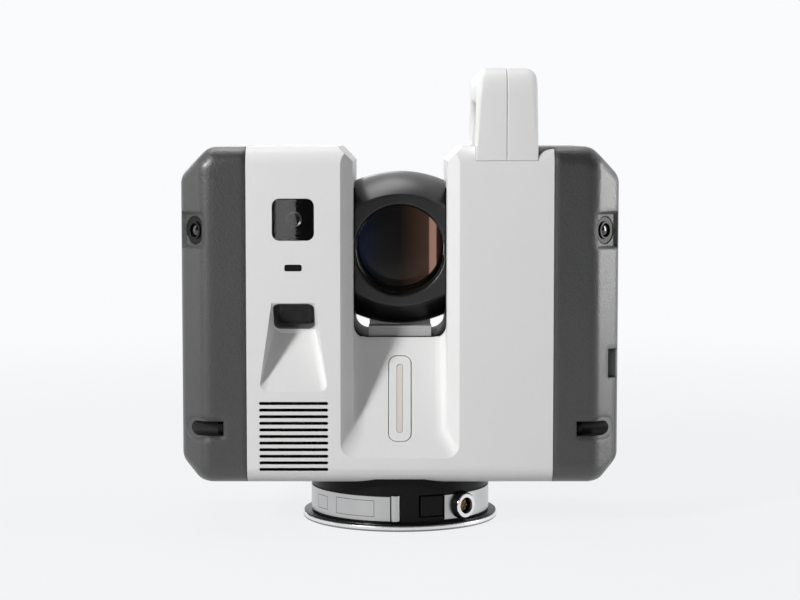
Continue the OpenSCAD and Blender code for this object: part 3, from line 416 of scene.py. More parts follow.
@finish_maker
def gloss_black(f, looks):
    """Half-gloss black of the sensor window and the panel round the display."""
    polished(f, (0.003, 0.003, 0.0035), rough=0.12, specular=0.12)


@finish_maker
def dark_glass(f, looks):
    """Dark panes that let some of what is behind them show."""
    polished(f, looks.pane, rough=0.008, specular=0.40, alpha=0.45)


@finish_maker
def screen_glass(f, looks):
    """Glass of the display, which is off."""
    polished(f, (0.004, 0.005, 0.007), rough=0.04, specular=0.3)


@finish_maker
def lens_glass(f, looks):
    """Black lenses with a clear reflection."""
    polished(f, (0.002, 0.002, 0.003), rough=0.02, specular=1.0)


@finish_maker
def coated_glass(f, looks):
    """Window of the telescope: a painted reflection that runs from blue through black to brown, with a
    pale pink painted highlight stripe; it glows in those colours.
    """
    x, y, z = f.axes()
    # Painted reflection: the bands across Y stand in for the surroundings mirrored in the window; the
    # pale pink band near 0.85 is a painted highlight
    shade = f.ramp(y / looks.reflection_span + 0.5, (
        (0.0, (0.006, 0.010, 0.024)), (0.14, (0.004, 0.006, 0.013)), (0.28, (0.004, 0.005, 0.006)),
        (0.50, (0.006, 0.005, 0.005)), (0.62, (0.022, 0.013, 0.010)), (0.82, (0.050, 0.030, 0.022)),
        (0.835, (0.30, 0.185, 0.15)), (0.90, (0.33, 0.20, 0.16)), (0.915, (0.030, 0.010, 0.008)),
        (1.0, (0.012, 0.003, 0.003))))
    cloud = f.noise(12 * MM)
    # The painted reflection is also the emission, so the window glows though it is no lamp
    f.surface({"Specular IOR Level": 0.3, "Emission Strength": 1.0}, {
        "Base Color": shade, "Emission Color": shade,
        "Roughness": 0.05 + cloud * 0.04})


@finish_maker
def mirror(f, looks):
    """Front-coated mirror, a little warm."""
    cloud = f.noise(14 * MM)
    f.surface({"Metallic": 1.0}, {
        "Base Color": f.mix(cloud, (0.80, 0.76, 0.72), (0.86, 0.82, 0.78)),
        "Roughness": 0.015 + cloud * 0.02})


@finish_maker
def ring_metal(f, looks):
    """Bright mounting ring with a painted shadow along its lower edge."""
    turned(f, looks.ring, rough=0.30, pitch=0.25 * MM, relief=0.006 * MM, shadow_height=1.1 * MM)


@finish_maker
def pale_metal(f, looks):
    """Brushed plates; thin lines frame two bare fields on the front one."""
    x, y, z = f.axes()
    along = f.turn(x, 0 - y) * looks.plate_r
    low, high = (c.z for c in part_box("band_plates"))
    middle, half = (low + high) / 2 - 0.3 * MM, (high - low) / 2 - 2.6 * MM
    wide = f.outline(along, z, (-27.0 * MM, middle), (12.4 * MM, half), looks.field_line)
    small = f.outline(along, z, (-52.4 * MM, middle), (5.2 * MM, half - 0.8 * MM), looks.field_line)
    metal(f, looks.plate, rough=0.32, lines=(6 * MM, 6 * MM, 0.12 * MM), relief=0.004 * MM,
          marking=wide.larger(small))


@finish_maker
def chrome(f, looks):
    """Bright front ring of the socket."""
    metal(f, (0.82, 0.82, 0.84), rough=0.14, lines=(0.6 * MM, 3 * MM, 0.6 * MM), relief=0.002 * MM,
          spread=0.02)


@finish_maker
def steel(f, looks):
    """Shafts, bearings, pins and screws."""
    metal(f, (0.50, 0.50, 0.51), rough=0.30, lines=(0.3 * MM, 2 * MM, 0.3 * MM), relief=0.003 * MM)


@finish_maker
def brass(f, looks):
    """Ring gear, slip ring and stub socket."""
    metal(f, (0.66, 0.48, 0.22), rough=0.30, lines=(0.3 * MM, 0.3 * MM, 2 * MM), relief=0.004 * MM)


@finish_maker
def barrel_metal(f, looks):
    """Blackened metal of the motors, the tube and the corner cameras."""
    moulded(f, (0.005, 0.005, 0.0055), rough=0.26, grain=0.25 * MM, relief=0.003 * MM, speckle=0.12,
            specular=0.15)


@finish_maker
def cast_frame(f, looks):
    """Cast metal with a pitted skin."""
    pits = f.cells(1.1 * MM)
    cloud = f.noise(18 * MM, FINE)
    f.surface({"Metallic": 1.0}, {
        "Base Color": f.mix(cloud, (0.36, 0.36, 0.37), (0.52, 0.52, 0.53)),
        "Roughness": 0.50 + pits * 0.15,
        "Normal": f.bump(pits, 0.04 * MM)})


@finish_maker
def socket_brown(f, looks):
    """Contact carrier inside the socket."""
    moulded(f, looks.insert, rough=0.42, grain=0.4 * MM, relief=0.006 * MM, speckle=0.12, specular=0.5)


@finish_maker
def board_green(f, looks):
    """Printed board: tracks under green resist with pale pads."""
    x, y, z = f.axes()
    tracks = f.node("ShaderNodeTexBrick", inputs={
        "Vector": f.node("ShaderNodeCombineXYZ", inputs={0: y / TRACK, 1: z / TRACK}),
        "Scale": 1.0, "Mortar Size": 0.09, "Mortar Smooth": 0.2}, output="Fac")
    pads = f.cells(3.4 * MM) < 0.16
    green = f.mix(tracks, (0.010, 0.075, 0.032), (0.022, 0.125, 0.052))
    f.surface({"Specular IOR Level": 0.5}, {
        "Base Color": f.mix(pads, green, (0.55, 0.50, 0.36)),
        "Roughness": 0.32 + tracks * 0.12,
        "Normal": f.bump(tracks, 0.03 * MM)})


@finish_maker
def light_plastic(f, looks):
    """Diffuser of the status light, brightest at its upper end."""
    x, y, z = f.axes()
    low, high = (c.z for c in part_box("light_lens"))
    rise = (z - low) / (high - low)
    cloud = f.noise(4 * MM)
    glow = f.ramp(rise + swing(cloud, 0.1), (
        (0.0, looks.glow_low), (0.55, looks.glow_mid), (1.0, looks.glow_high)))
    f.surface({"Roughness": 0.4, "Emission Strength": looks.glow_strength}, {
        "Base Color": f.mix(cloud, (0.62, 0.57, 0.53), (0.67, 0.62, 0.57)),
        "Emission Color": glow})


# Sizes and colours

def length(name, description, default):
    """A length in metres."""
    return FloatProperty(name=name, description=description, default=default,
                         min=0.0, unit="LENGTH", precision=5)


def colour(name, description, default):
    """A linear colour."""
    return FloatVectorProperty(name=name, description=description, default=default,
                               min=0.0, max=1.0, size=3, subtype="COLOR")


def power(name, description, default):
    """The power of a lamp in watts."""
    return FloatProperty(name=name, description=description, default=default, min=0.0, subtype="POWER")


class ScannerLooks(bpy.types.PropertyGroup):
    """Sizes and colours of the scanner's finishes."""
    white: colour("White", "Painted middle shells and handle", (0.76, 0.76, 0.755))
    cover: colour("Covers", "Textured side covers", (0.0115, 0.0115, 0.0118))
    # Black is also the colour of the painted shade in the vent slots and the screw channels
    black: colour("Black", "Drum, well liner and trim", (0.0055, 0.0055, 0.006))
    grey: colour("Grey", "Reference block under the mirror", (0.40, 0.40, 0.40))
    rotor: colour("Rotor", "Barrel of the mirror rotor", (0.005, 0.005, 0.0054))
    pane: colour("Camera panes", "Dark panes over the cameras", (0.002, 0.002, 0.0022))
    ring: colour("Mounting ring", "Turned ring under the drum", (0.80, 0.80, 0.81))
    plate: colour("Plates", "Curved plates round the drum", (0.52, 0.52, 0.52))
    plate_r: length("Plate radius", "Of the curved plates' outer side", 50.8 * MM)
    field_line: length("Field line", "Width of the lines round the plate's bare fields", 0.3 * MM)
    # Width of the telescope window's painted reflection bands
    reflection_span: length("Window coat", "Width over which the telescope's coat changes", 52 * MM)
    insert: colour("Socket insert", "Contact carrier of the socket", (0.34, 0.22, 0.10))
    glow_low: colour("Glow, lower end", "Status light at its lower end", (0.62, 0.50, 0.42))
    glow_mid: colour("Glow, middle", "Status light at its middle", (0.80, 0.66, 0.55))
    glow_high: colour("Glow, upper end", "Status light at its upper end", (0.95, 0.86, 0.76))
    glow_strength: FloatProperty(name="Glow", description="Strength of the status light",
                                 default=0.06, min=0.0)
    vent_w: length("Vent width", "Of the field of vent slots", 39 * MM)
    vent_h: length("Vent height", "Of the field of vent slots", 39.6 * MM)
    # Depth at which the painted shade in the vent slots begins
    vent_shade_in: length("Vent depth", "From the shells' outer sides to the slots' black", 0.9 * MM)
    vent_drop: length("Vent drop", "Of the slots' middle under the fan's", 2 * MM)
    lower_w: length("Lower pane width", "Of the pane over the lower recess", 22.4 * MM)
    lower_h: length("Lower pane length", "Down the slope of the pane over the recess", 20.8 * MM)
    lower_r: length("Lower pane corner", "Corner radius of the pane over the recess", 4.0 * MM)
    lower_tilt: FloatProperty(name="Lower pane tilt", description="Of the pane over the recess",
                              default=math.radians(45.75), subtype="ANGLE")
    handle_leg: length("Handle leg", "From front to rear", 18 * MM)
    handle_bar: length("Handle bar", "Thickness of the bar", 18 * MM)
    handle_turn: length("Handle corner", "Outer radius of the handle's corners", 14 * MM)
    handle_bend: length("Handle bend", "Inner radius of the handle's corners", 12 * MM)
    handle_seat: length("Handle seat", "Height at which the legs leave the shells", 211.5 * MM)
    handle_round: length("Bar rounding", "Added rounding on top of the bar", 8.0 * MM)
    handle_taper: length("Handle taper", "How much narrower a half is at the top", 0.6 * MM)
    socket_seat: length("Socket seat", "From the base's axis to the socket's rear", 45 * MM)
    channel_r: length("Screw channel", "Radius of the channels in the covers", 6 * MM)
    slot_h: length("Slot height", "Of the screw channels' mouths", 8.0 * MM)
    slot_shift: length("Slot shift", "Of the mouth's round end from the screw's axis", 0.6 * MM)
    cover_round: length("Cover rounding", "Radius of the covers' upright edges", 10 * MM)
    cover_cut: length("Cover chamfer", "How far the covers' corners are cut", 13.5 * MM)
    channel_end: length("Channel end", "From the screw heads' tops to the channels' ends", 3.2 * MM)
    white_grain: length("White grain", "Size of the paint's grain", 0.45 * MM)
    cover_grain: length("Cover grain", "Size of the covers' moulded grain", 0.9 * MM)
    shell_edge: length("Shell edges", "Rounding of the shells' edges", 0.40 * MM)
    cover_edge: length("Cover edges", "Rounding of the covers' edges", 4.5 * MM)
    trim_edge: length("Trim edges", "Rounding of panes, plates and trim", 0.30 * MM)
    rotor_edge: length("Rotor edges", "Rounding of the rotor's edges", 1.2 * MM)
    fine_edge: length("Fine edges", "Rounding of screws and small parts", 0.15 * MM)


class ScannerStudio(bpy.types.PropertyGroup):
    """Camera and light of the studio."""
    distance: length("Camera distance", "From the camera to the turning axis", 1.1862)
    height: length("Camera height", "Of the camera above the floor", 0.2183)
    lens: FloatProperty(name="Lens", description="Focal length on a 36 mm wide sensor",
                        default=93.69, min=1.0, unit="CAMERA")
    tilt: FloatProperty(name="Tilt", description="How far the camera looks down",
                        default=math.radians(4.561), subtype="ANGLE")
    key: power("Key light", "Power of the light at the left", 34.0)
    top: power("Top light", "Power of the light overhead", 5.6)
    side: power("Side light", "Power of the light at the right", 12.0)
    left: power("Left light", "Power of the light at the far left", 1.2)
    rim: power("Rim light", "Power of the light behind", 3.2)
    strip: power("Strip light", "Power of the strip that the panes show", 0.19)
    room: FloatProperty(name="Room light", description="Even light from all round",
                        default=0.18, min=0.0)


# Making pieces

def dress(name, slot=None):
    """Gives a CAD node the finish of its own slot, or of another one."""
    node = NODES[name]
    node.data.materials[0] = finish(slot or node.data.materials[0].name)


def clean_group():
    """Nodes that join a CAD mesh's split corners and mark its sharp edges again."""
    group = bpy.data.node_groups.get("joined_faces")
    if group:
        return group
    group = bpy.data.node_groups.new("joined_faces", "GeometryNodeTree")
    group.interface.new_socket("Geometry", in_out="INPUT", socket_type="NodeSocketGeometry")
    group.interface.new_socket("Geometry", in_out="OUTPUT", socket_type="NodeSocketGeometry")
    add, link = group.nodes.new, group.links.new
    start, end = add("NodeGroupInput"), add("NodeGroupOutput")
    drop = add("GeometryNodeRemoveAttribute")
    drop.inputs["Name"].default_value = "custom_normal"
    join = add("GeometryNodeMergeByDistance")
    join.inputs["Distance"].default_value = SPLIT
    smooth = add("GeometryNodeSetShadeSmooth")
    sharp = add("GeometryNodeSetShadeSmooth")
    sharp.domain = "EDGE"
    sharp.inputs["Shade Smooth"].default_value = False
    angle = add("GeometryNodeInputMeshEdgeAngle")
    over, outer = add("FunctionNodeCompare"), add("FunctionNodeCompare")
    for compare in (over, outer):
        compare.operation = "GREATER_THAN"
        compare.inputs[1].default_value = SHARP
    mark = add("GeometryNodeStoreNamedAttribute")
    mark.domain = "EDGE"
    mark.data_type = "FLOAT"
    mark.inputs["Name"].default_value = "bevel_weight_edge"
    link(start.outputs[0], drop.inputs["Geometry"])
    link(drop.outputs[0], join.inputs["Geometry"])
    link(join.outputs[0], smooth.inputs["Geometry"])
    link(smooth.outputs[0], sharp.inputs["Geometry"])
    link(angle.outputs["Unsigned Angle"], over.inputs[0])
    link(over.outputs[0], sharp.inputs["Selection"])
    link(sharp.outputs[0], mark.inputs["Geometry"])
    link(angle.outputs["Signed Angle"], outer.inputs[0])
    link(outer.outputs[0], mark.inputs["Value"])
    link(mark.outputs[0], end.inputs[0])
    return group


def soften(name, width):
    """Evens a CAD node's shading and rounds its outer edges by that width."""
    node = NODES[name]
    joined = node.modifiers.new("joined", "NODES")
    joined.node_group = clean_group()
    if width:
        round_ = node.modifiers.new("rounded", "BEVEL")
        round_.limit_method = "WEIGHT"
        round_.width = width
        round_.segments = 3
        round_.use_clamp_overlap = False
        round_.face_strength_mode = "FSTR_ALL"
    even = node.modifiers.new("even_faces", "WEIGHTED_NORMAL")
    even.keep_sharp = True
    even.use_face_influence = bool(width)


def settle(names, width, slot=None):
    """Softens and dresses these CAD nodes."""
    for name in names:
        soften(name, width)
        dress(name, slot)


def add_piece(name, body, points, faces, finishes, kinds=None):
    """A closed mesh in the row frame that rides on a body; kinds gives each face's finish."""
    mesh = bpy.data.meshes.new(name)
    mesh.from_pydata(points, [], faces)
    if kinds:
        mesh.polygons.foreach_set("material_index", kinds)
    form = bmesh.new()
    form.from_mesh(mesh)
    bmesh.ops.recalc_face_normals(form, faces=form.faces)
    if not all(edge.is_manifold for edge in form.edges):
        raise RuntimeError(name + " is not closed")
    form.to_mesh(mesh)
    form.free()
    mesh.shade_smooth()
    mesh.set_sharp_from_angle(angle=SHARP)
    for made in finishes:
        mesh.materials.append(finish(made))
    piece = bpy.data.objects.new(name, mesh)
    bpy.context.scene.collection.objects.link(piece)
    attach(piece, body)
    return piece


def skin(loops):
    """Faces between equal closed loops of points, and over the first and last one."""
    n = len(loops[0])
    points = [p for loop in loops for p in loop]
    faces = [(i * n + j, i * n + (j + 1) % n, (i + 1) * n + (j + 1) % n, (i + 1) * n + j)
             for i in range(len(loops) - 1) for j in range(n)]
    faces += [tuple(range(n)), tuple(range(len(points) - n, len(points)))]
    return points, faces


def lathe(profile, place, steps=64):
    """A turned form: (radius, height, finish) points about the axis of that matrix."""
    turns = [2 * math.pi * j / steps for j in range(steps)]
    loops = [[place @ Vector((r * math.cos(a), r * math.sin(a), h)) for a in turns]
             for r, h, kind in profile]
    points, faces = skin(loops)
    kinds = [kind for r, h, kind in profile[1:] for j in range(steps)]
    return points, faces, kinds + [profile[0][2], profile[-1][2]]


def arc(middle, radius, start, end, count):
    """Points on an arc in a plane, angles in degrees."""
    turn = [math.radians(start + (end - start) * i / count) for i in range(count + 1)]
    return [(middle[0] + radius * math.cos(a), middle[1] + radius * math.sin(a)) for a in turn]


class Step:
    """What all the scanner's steps share."""
    bl_options = {"REGISTER"}

    def execute(self, context):
        self.make(context.scene.scanner_looks)
        return {"FINISHED"}


class SCANNER_OT_shells(Step, bpy.types.Operator):
    """White front and rear shells of the turning body"""
    bl_idname = "scanner.shells"
    bl_label = "Shells"

    def make(self, looks):
        settle(("front_shell", "rear_shell"), 0)


class SCANNER_OT_covers(Step, bpy.types.Operator):
    """Textured side covers with the battery door, its latch and the screws"""
    bl_idname = "scanner.covers"
    bl_label = "Covers"

    def make(self, looks):
        settle(("left_cover", "right_cover", "battery_door", "door_latch", "hinge_pin"), 0)
        settle(("cover_screws",), 0, "liner_black")
        for across, side in ((-1, "left"), (1, "right")):
            for along, face in ((-1, "front"), (1, "rear")):
                self.lining("_".join(("channel_lining", side, face)), looks, across, along)

    def lining(self, name, looks, across, along):
        """Fills the flare of a screw channel, so that its mouth keeps the slot's height."""
        middle, start, half = screw_axis(), screw_end(looks), looks.slot_h / 2
        bottom = (middle[0] + looks.slot_shift, middle[1])
        spare, steps, gap = 3, 28, 0.03 * MM
        turn = math.degrees(math.asin(half / looks.channel_r)) + spare
        loops = []
        for outer in arc(middle, looks.channel_r - gap, turn, 360 - turn, steps):
            if outer[0] > bottom[0]:
                inner = (outer[0], middle[1] + math.copysign(half, outer[1] - middle[1]))
            else:
                share = half / math.dist(outer, bottom)
                inner = tuple(b + (o - b) * share for b, o in zip(bottom, outer))
            mouth = [[o + (i - o) * k / 3 for o, i in zip(outer, inner)] for k in range(4)]
            loop = [(start, *outer), *((self.reach(looks, y), y, z) for y, z in mouth), (start, *inner)]
            loops.append([(across * x, along * y, z) for x, y, z in loop])
        points, faces = skin(loops)
        kinds = [0, 0, 0, 0, 1, 1] * steps + [1, 1]
        add_piece(name, "head", points, faces,
                  ("lining_plastic", "channel_plastic"), kinds)

    def reach(self, looks, y):
        """How far a cover reaches outwards at that distance from the middle plane."""
        r, cut = looks.cover_round, looks.cover_cut - (2 - 2 ** 0.5) * looks.cover_round
        x, y = -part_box("left_cover")[0].x - r - cut, y - (SHELL_Y - r)
        slope = r * 2 ** -0.5
        if y > slope:
            return x + (r * r - y * y) ** 0.5
        if y > slope - cut:
            return x + 2 * slope - y
        return x + cut + (r * r - (y + cut) ** 2) ** 0.5


class SCANNER_OT_handle(Step, bpy.types.Operator):
    """Carrying handle in two halves, with a rounder bar than its legs"""
    bl_idname = "scanner.handle"
    bl_label = "Handle"

    def make(self, looks):
        for side, node in ((-1, "handle_left"), (1, "handle_right")):
            low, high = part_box(node)
            seam = high.x if side < 0 else low.x
            wide = high.x - low.x
            loops = [self.section(side, seam, wide, looks, *station)
                     for station in self.stations(low, high, looks)]
            points, faces = skin(loops)
            piece = add_piece(node + "_shell", "head", points, faces,
                              ("white_plastic",))
            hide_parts(node)

    def stations(self, low, high, looks):
        """Outer and inner point, and how far the station belongs to the bar, from 0 to 1."""
        deep, top = high.y, high.z
        leg, bar = looks.handle_leg, looks.handle_bar
        r_out, r_in = looks.handle_turn, looks.handle_bend
        spring = top - bar - r_in
        hidden, clear = low.z + 7.4 * MM, low.z + 8.4 * MM
        flat, turn_steps, bend_steps = 16 * MM, 12, 16
        half = [((deep, z), (deep - leg, z), 0.0) for z in (low.z, hidden, clear, spring)]
        path = [(deep, spring), (deep, top - r_out)]
        path += arc((deep - r_out, top - r_out), r_out, 0, 90, turn_steps)[1:]
        path += [(deep - leg - r_in, top)]
        run = [0.0]
        for p, q in zip(path, path[1:]):
            run.append(run[-1] + math.dist(p, q))
        bend = arc((deep - leg - r_in, top - bar - r_in), r_in, 0, 90, bend_steps)
        for i, inner in enumerate(bend[1:], 1):
            want = run[-1] * i / bend_steps
            k = max(j for j in range(len(run) - 1) if run[j] <= want + 1e-12)
            share = (want - run[k]) / (run[k + 1] - run[k])
            outer = [a + (b - a) * share for a, b in zip(path[k], path[k + 1])]
            half.append((tuple(outer), inner, i / bend_steps))
        half += [((y, top), (y, top - bar), 1.0) for y in (flat, 0.0)]
        other = [((-o[0], o[1]), (-i[0], i[1]), share) for o, i, share in half[-2::-1]]
        return half + other

    def section(self, side, seam, wide, looks, outer, inner, share):
        """Outline of one half across the handle, from the seam round to the seam."""
        thick = math.dist(outer, inner)
        taper_h, free_h, lip = 60 * MM, 2 * MM, 0.35 * MM
        rise = min(1.0, max(0.0, (max(outer[1], inner[1]) - looks.handle_seat) / taper_h))
        across = wide - looks.handle_taper * rise
        free = min(1.0, max(0.0, (outer[1] - looks.handle_seat) / free_h))
        r_out = (0.6 + free * 1.6) * MM + share ** 1.5 * looks.handle_round
        r_in = (0.6 + free * 1.8) * MM
        flat = [(0.0, lip), (lip, 0.0)]
        flat += arc((across - r_in, r_in), r_in, -90, 0, 6)
        flat += arc((across - r_out, thick - r_out), r_out, 0, 90, 10)
        flat += [(lip, thick), (0.0, thick - lip)]
        way = [(b - a) / thick for a, b in zip(inner, outer)]
        return [(seam + side * u, inner[0] + way[0] * v, inner[1] + way[1] * v) for u, v in flat]


class SCANNER_OT_rotor(Step, bpy.types.Operator):
    """Mirror rotor, the well it turns in and the telescope beside it"""
    bl_idname = "scanner.rotor"
    bl_label = "Rotor"

    def make(self, looks):
        settle(("well_liner",), looks.trim_edge, "liner_black")
        settle(("reference_block",), looks.trim_edge)
        settle(("rotor_housing", "mirror_plate", "encoder_disc", "telescope_tube",
                "mirror_motor", "mirror_bearings", "encoder_head"), looks.fine_edge)
        settle(("rotor_shaft", "telescope_window"), 0)


class SCANNER_OT_panes(Step, bpy.types.Operator):
    """Camera panes in the left pillar and the cameras behind them"""
    bl_idname = "scanner.panes"
    bl_label = "Camera panes"

    def make(self, looks):
        settle(("front_window", "top_window", "sensor_window"), looks.trim_edge)
        settle(("front_camera", "front_lens", "tilt_cameras"), looks.fine_edge)
        self.lower_pane(looks)
        self.lens(looks)

    def lower_pane(self, looks):
        """Pane on the sloping wall over the lower recess, with a lip that covers the wall."""
        low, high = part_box("down_window")
        tilt = Matrix.Rotation(math.radians(180) - looks.lower_tilt, 4, "X")
        proud, drop, bevel = 1.1 * MM, -0.2 * MM, 0.25 * MM
        place = Matrix.Translation((low + high) / 2) @ tilt @ Matrix.Translation((0.0, 0.0, proud))
        neck = (21.4 * MM, 18.9 * MM, 3.1 * MM, 0.0)
        lip = (looks.lower_w, looks.lower_h, looks.lower_r, drop)
        face = (lip[0] - 2 * bevel, lip[1] - 2 * bevel, lip[2] - bevel, drop)
        loops = []
        for (wide, deep, r, shift), h in (
                (neck, -1.9 * MM), (neck, 0.04 * MM), (lip, 0.04 * MM), (lip, 0.25 * MM),
                (face, 0.45 * MM)):
            outline = []
            for i, (sx, sy) in enumerate(((1, 1), (-1, 1), (-1, -1), (1, -1))):
                outline += arc((sx * (wide / 2 - r), sy * (deep / 2 - r)), r, 90 * i, 90 * i + 90, 8)
            loops.append([place @ Vector((u, v + shift, h)) for u, v in outline])
        points, faces = skin(loops)
        piece = add_piece("lower_pane", "head", points, faces, ("dark_glass",))
        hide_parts("down_window")

    def lens(self, looks):
        """Domed front lens in its bright retaining ring, behind the front pane."""
        low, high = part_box("front_lens")
        middle = (low + high) / 2
        place = (Matrix.Translation((middle.x, low.y, middle.z))
                 @ Matrix.Rotation(math.radians(90), 4, "X"))
        inner_r, rise = 3.3, 1.1
        glass = [(0.05, 0.05, 1), (4.5, 0.05, 1), (4.5, 1.3, 0), (4.3, 1.5, 0), (inner_r, rise, 0)]
        for a in range(10, 100, 10):
            turn = math.radians(a)
            glass.append((inner_r * math.cos(turn) + 0.04, rise + rise * math.sin(turn), 1))
        profile = [(r * MM, h * MM, kind) for r, h, kind in glass]
        points, faces, kinds = lathe(profile, place, steps=48)
        add_piece("front_lens_dome", "head", points, faces,
                  ("steel", "lens_glass"), kinds)


class SCANNER_OT_corner_cameras(Step, bpy.types.Operator):
    """Four cameras in the covers' corners"""
    bl_idname = "scanner.corner_cameras"
    bl_label = "Corner cameras"

    def make(self, looks):
        settle(("corner_cameras",), looks.fine_edge)
        settle(("corner_lenses",), 0)


class SCANNER_OT_light_bar(Step, bpy.types.Operator):
    """Status light in the apron"""
    bl_idname = "scanner.light_bar"
    bl_label = "Light bar"

    def make(self, looks):
        settle(("light_frame", "light_lens"), looks.trim_edge)


class SCANNER_OT_fan(Step, bpy.types.Operator):
    """Fan behind the vent slots, and black foam sheets behind the slots that stand in for the shade
    there
    """
    bl_idname = "scanner.fan"
    bl_label = "Fan"

    def make(self, looks):
        settle(("fan_frame", "fan_rotor"), 0)
        low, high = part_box("fan_frame")
        gap, shell = 0.4 * MM, 7.5 * MM
        for name, y in (("front_filter", high.y + gap), ("rear_filter", SHELL_Y - shell)):
            self.filter(name, looks, (low.x + high.x) / 2, y)

    def filter(self, name, looks, x, y):
        """A black sheet of foam, dimpled on both sides, put behind the slots as a stand-in for their
        shade.
        """
        count, thick, dimple, drop = 56, 1.6 * MM, 0.45 * MM, 11.5 * MM
        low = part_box("fan_frame")[0].z - drop
        wide, tall = looks.vent_w + 2 * MM, looks.vent_h + 1.5 * MM
        points, faces = [], []
        for side in (0, 1):
            for i in range(count + 1):
                for j in range(count + 1):
                    inner = 0 < i < count and 0 < j < count
                    dent = dimple * ((i + j) % 2) if inner else 0.0
                    points.append((x + wide * (i / count - 0.5),
                                   y + (thick - dent if side else dent),
                                   low + tall * j / count))
        n = count + 1
        for side in (0, n * n):
            faces += [(side + i * n + j, side + (i + 1) * n + j, side + (i + 1) * n + j + 1,
                       side + i * n + j + 1) for i in range(count) for j in range(count)]
        rim = ([i * n for i in range(n)] + [count * n + j for j in range(1, n)]
               + [i * n + count for i in range(count - 1, -1, -1)]
               + [j for j in range(count - 1, 0, -1)])
        faces += [(a, b, b + n * n, a + n * n) for a, b in zip(rim, rim[1:] + rim[:1])]
        add_piece(name, "head", points, faces, ("liner_black",))


class SCANNER_OT_base(Step, bpy.types.Operator):
    """Drum on the mounting ring with its curved plates, key and bearing"""
    bl_idname = "scanner.base"
    bl_label = "Base"

    def make(self, looks):
        settle(("mount_ring", "base_drum", "release_key"), looks.fine_edge)
        settle(("spindle", "bearing_inner", "bearing_outer", "bearing_balls", "slip_ring"),
               looks.fine_edge)
        settle(("band_plates", "stub_socket", "azimuth_gear", "base_screws", "pinion",
                "azimuth_motor", "slip_brush"), 0)


class SCANNER_OT_socket(Step, bpy.types.Operator):
    """Round power socket: black threaded sleeve with a bright front ring"""
    bl_idname = "scanner.socket"
    bl_label = "Socket"

    def make(self, looks):
        settle(("socket_insert",), 0)
        low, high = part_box("socket_insert")
        middle = (low + high) / 2
        out = Vector((middle.x, middle.y, 0.0)).normalized()
        place = (Matrix.Translation(out * looks.socket_seat + Vector((0.0, 0.0, middle.z)))
                 @ out.to_track_quat("Z", "Y").to_matrix().to_4x4())
        sleeve = [(0.2, -3.9, 0), (4.85, -3.9, 0), (4.85, 0.05, 0), (7.4, 0.05, 0),
                  (7.55, 0.2, 0), (7.55, 6.35, 0), (7.35, 6.55, 0)]
        pitch, crest, groove = 0.42, 7.25, 7.0
        for i in range(5):
            sleeve += [(r, h + pitch * i, 0) for r, h in ((crest, 6.65), (groove, 6.82), (crest, 7.0))]
        sleeve += [(7.1, 9.0, 0), (6.75, 9.05, 0), (6.75, 9.4, 1), (6.62, 9.68, 1), (6.35, 9.8, 1),
                   (4.75, 9.8, 1), (4.5, 9.68, 1), (4.4, 9.4, 1), (4.4, 8.3, 1), (5.03, 8.0, 0),
                   (5.03, 1.95, 0), (0.2, 1.95, 0)]
        profile = [(r * MM, h * MM, kind) for r, h, kind in sleeve]
        points, faces, kinds = lathe(profile, place)
        piece = add_piece("socket_sleeve", "base", points, faces,
                          ("black_plastic", "chrome"), kinds)
        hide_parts("power_socket")


class SCANNER_OT_display(Step, bpy.types.Operator):
    """Display and power button"""
    bl_idname = "scanner.display"
    bl_label = "Display"

    def make(self, looks):
        settle(("display_glass", "display_panel"), looks.trim_edge)
        settle(("power_button",), looks.fine_edge)


class SCANNER_OT_works(Step, bpy.types.Operator):
    """Chassis, batteries and boards inside the covers"""
    bl_idname = "scanner.works"
    bl_label = "Inner works"

    def make(self, looks):
        settle(("battery_bay", "batteries", "main_board"), looks.trim_edge)
        settle(("chassis", "laser_module"), 0)


# Name, place, target and size of each lamp, in metres
LAMPS = (
    ("key", (-1.35, -1.33, 0.95), (0.0, 0.0, 0.14), (0.32, 0.32)),
    ("top", (-0.26, 0.28, 1.22), (-0.03, 0.0, 0.2), (0.9, 0.5)),
    ("side", (1.35, 0.05, 0.26), (0.1, 0.0, 0.14), (0.35, 0.9)),
    ("rim", (-0.45, 1.45, 0.62), (-0.05, 0.0, 0.18), (0.9, 0.4)),
    ("left", (-1.40, 0.02, 0.35), (-0.1, 0.0, 0.15), (0.12, 0.9)),
    ("strip", (-0.224, -3.0, 0.08), (-0.05, 0.0, 0.17), (0.040, 0.3)),
)


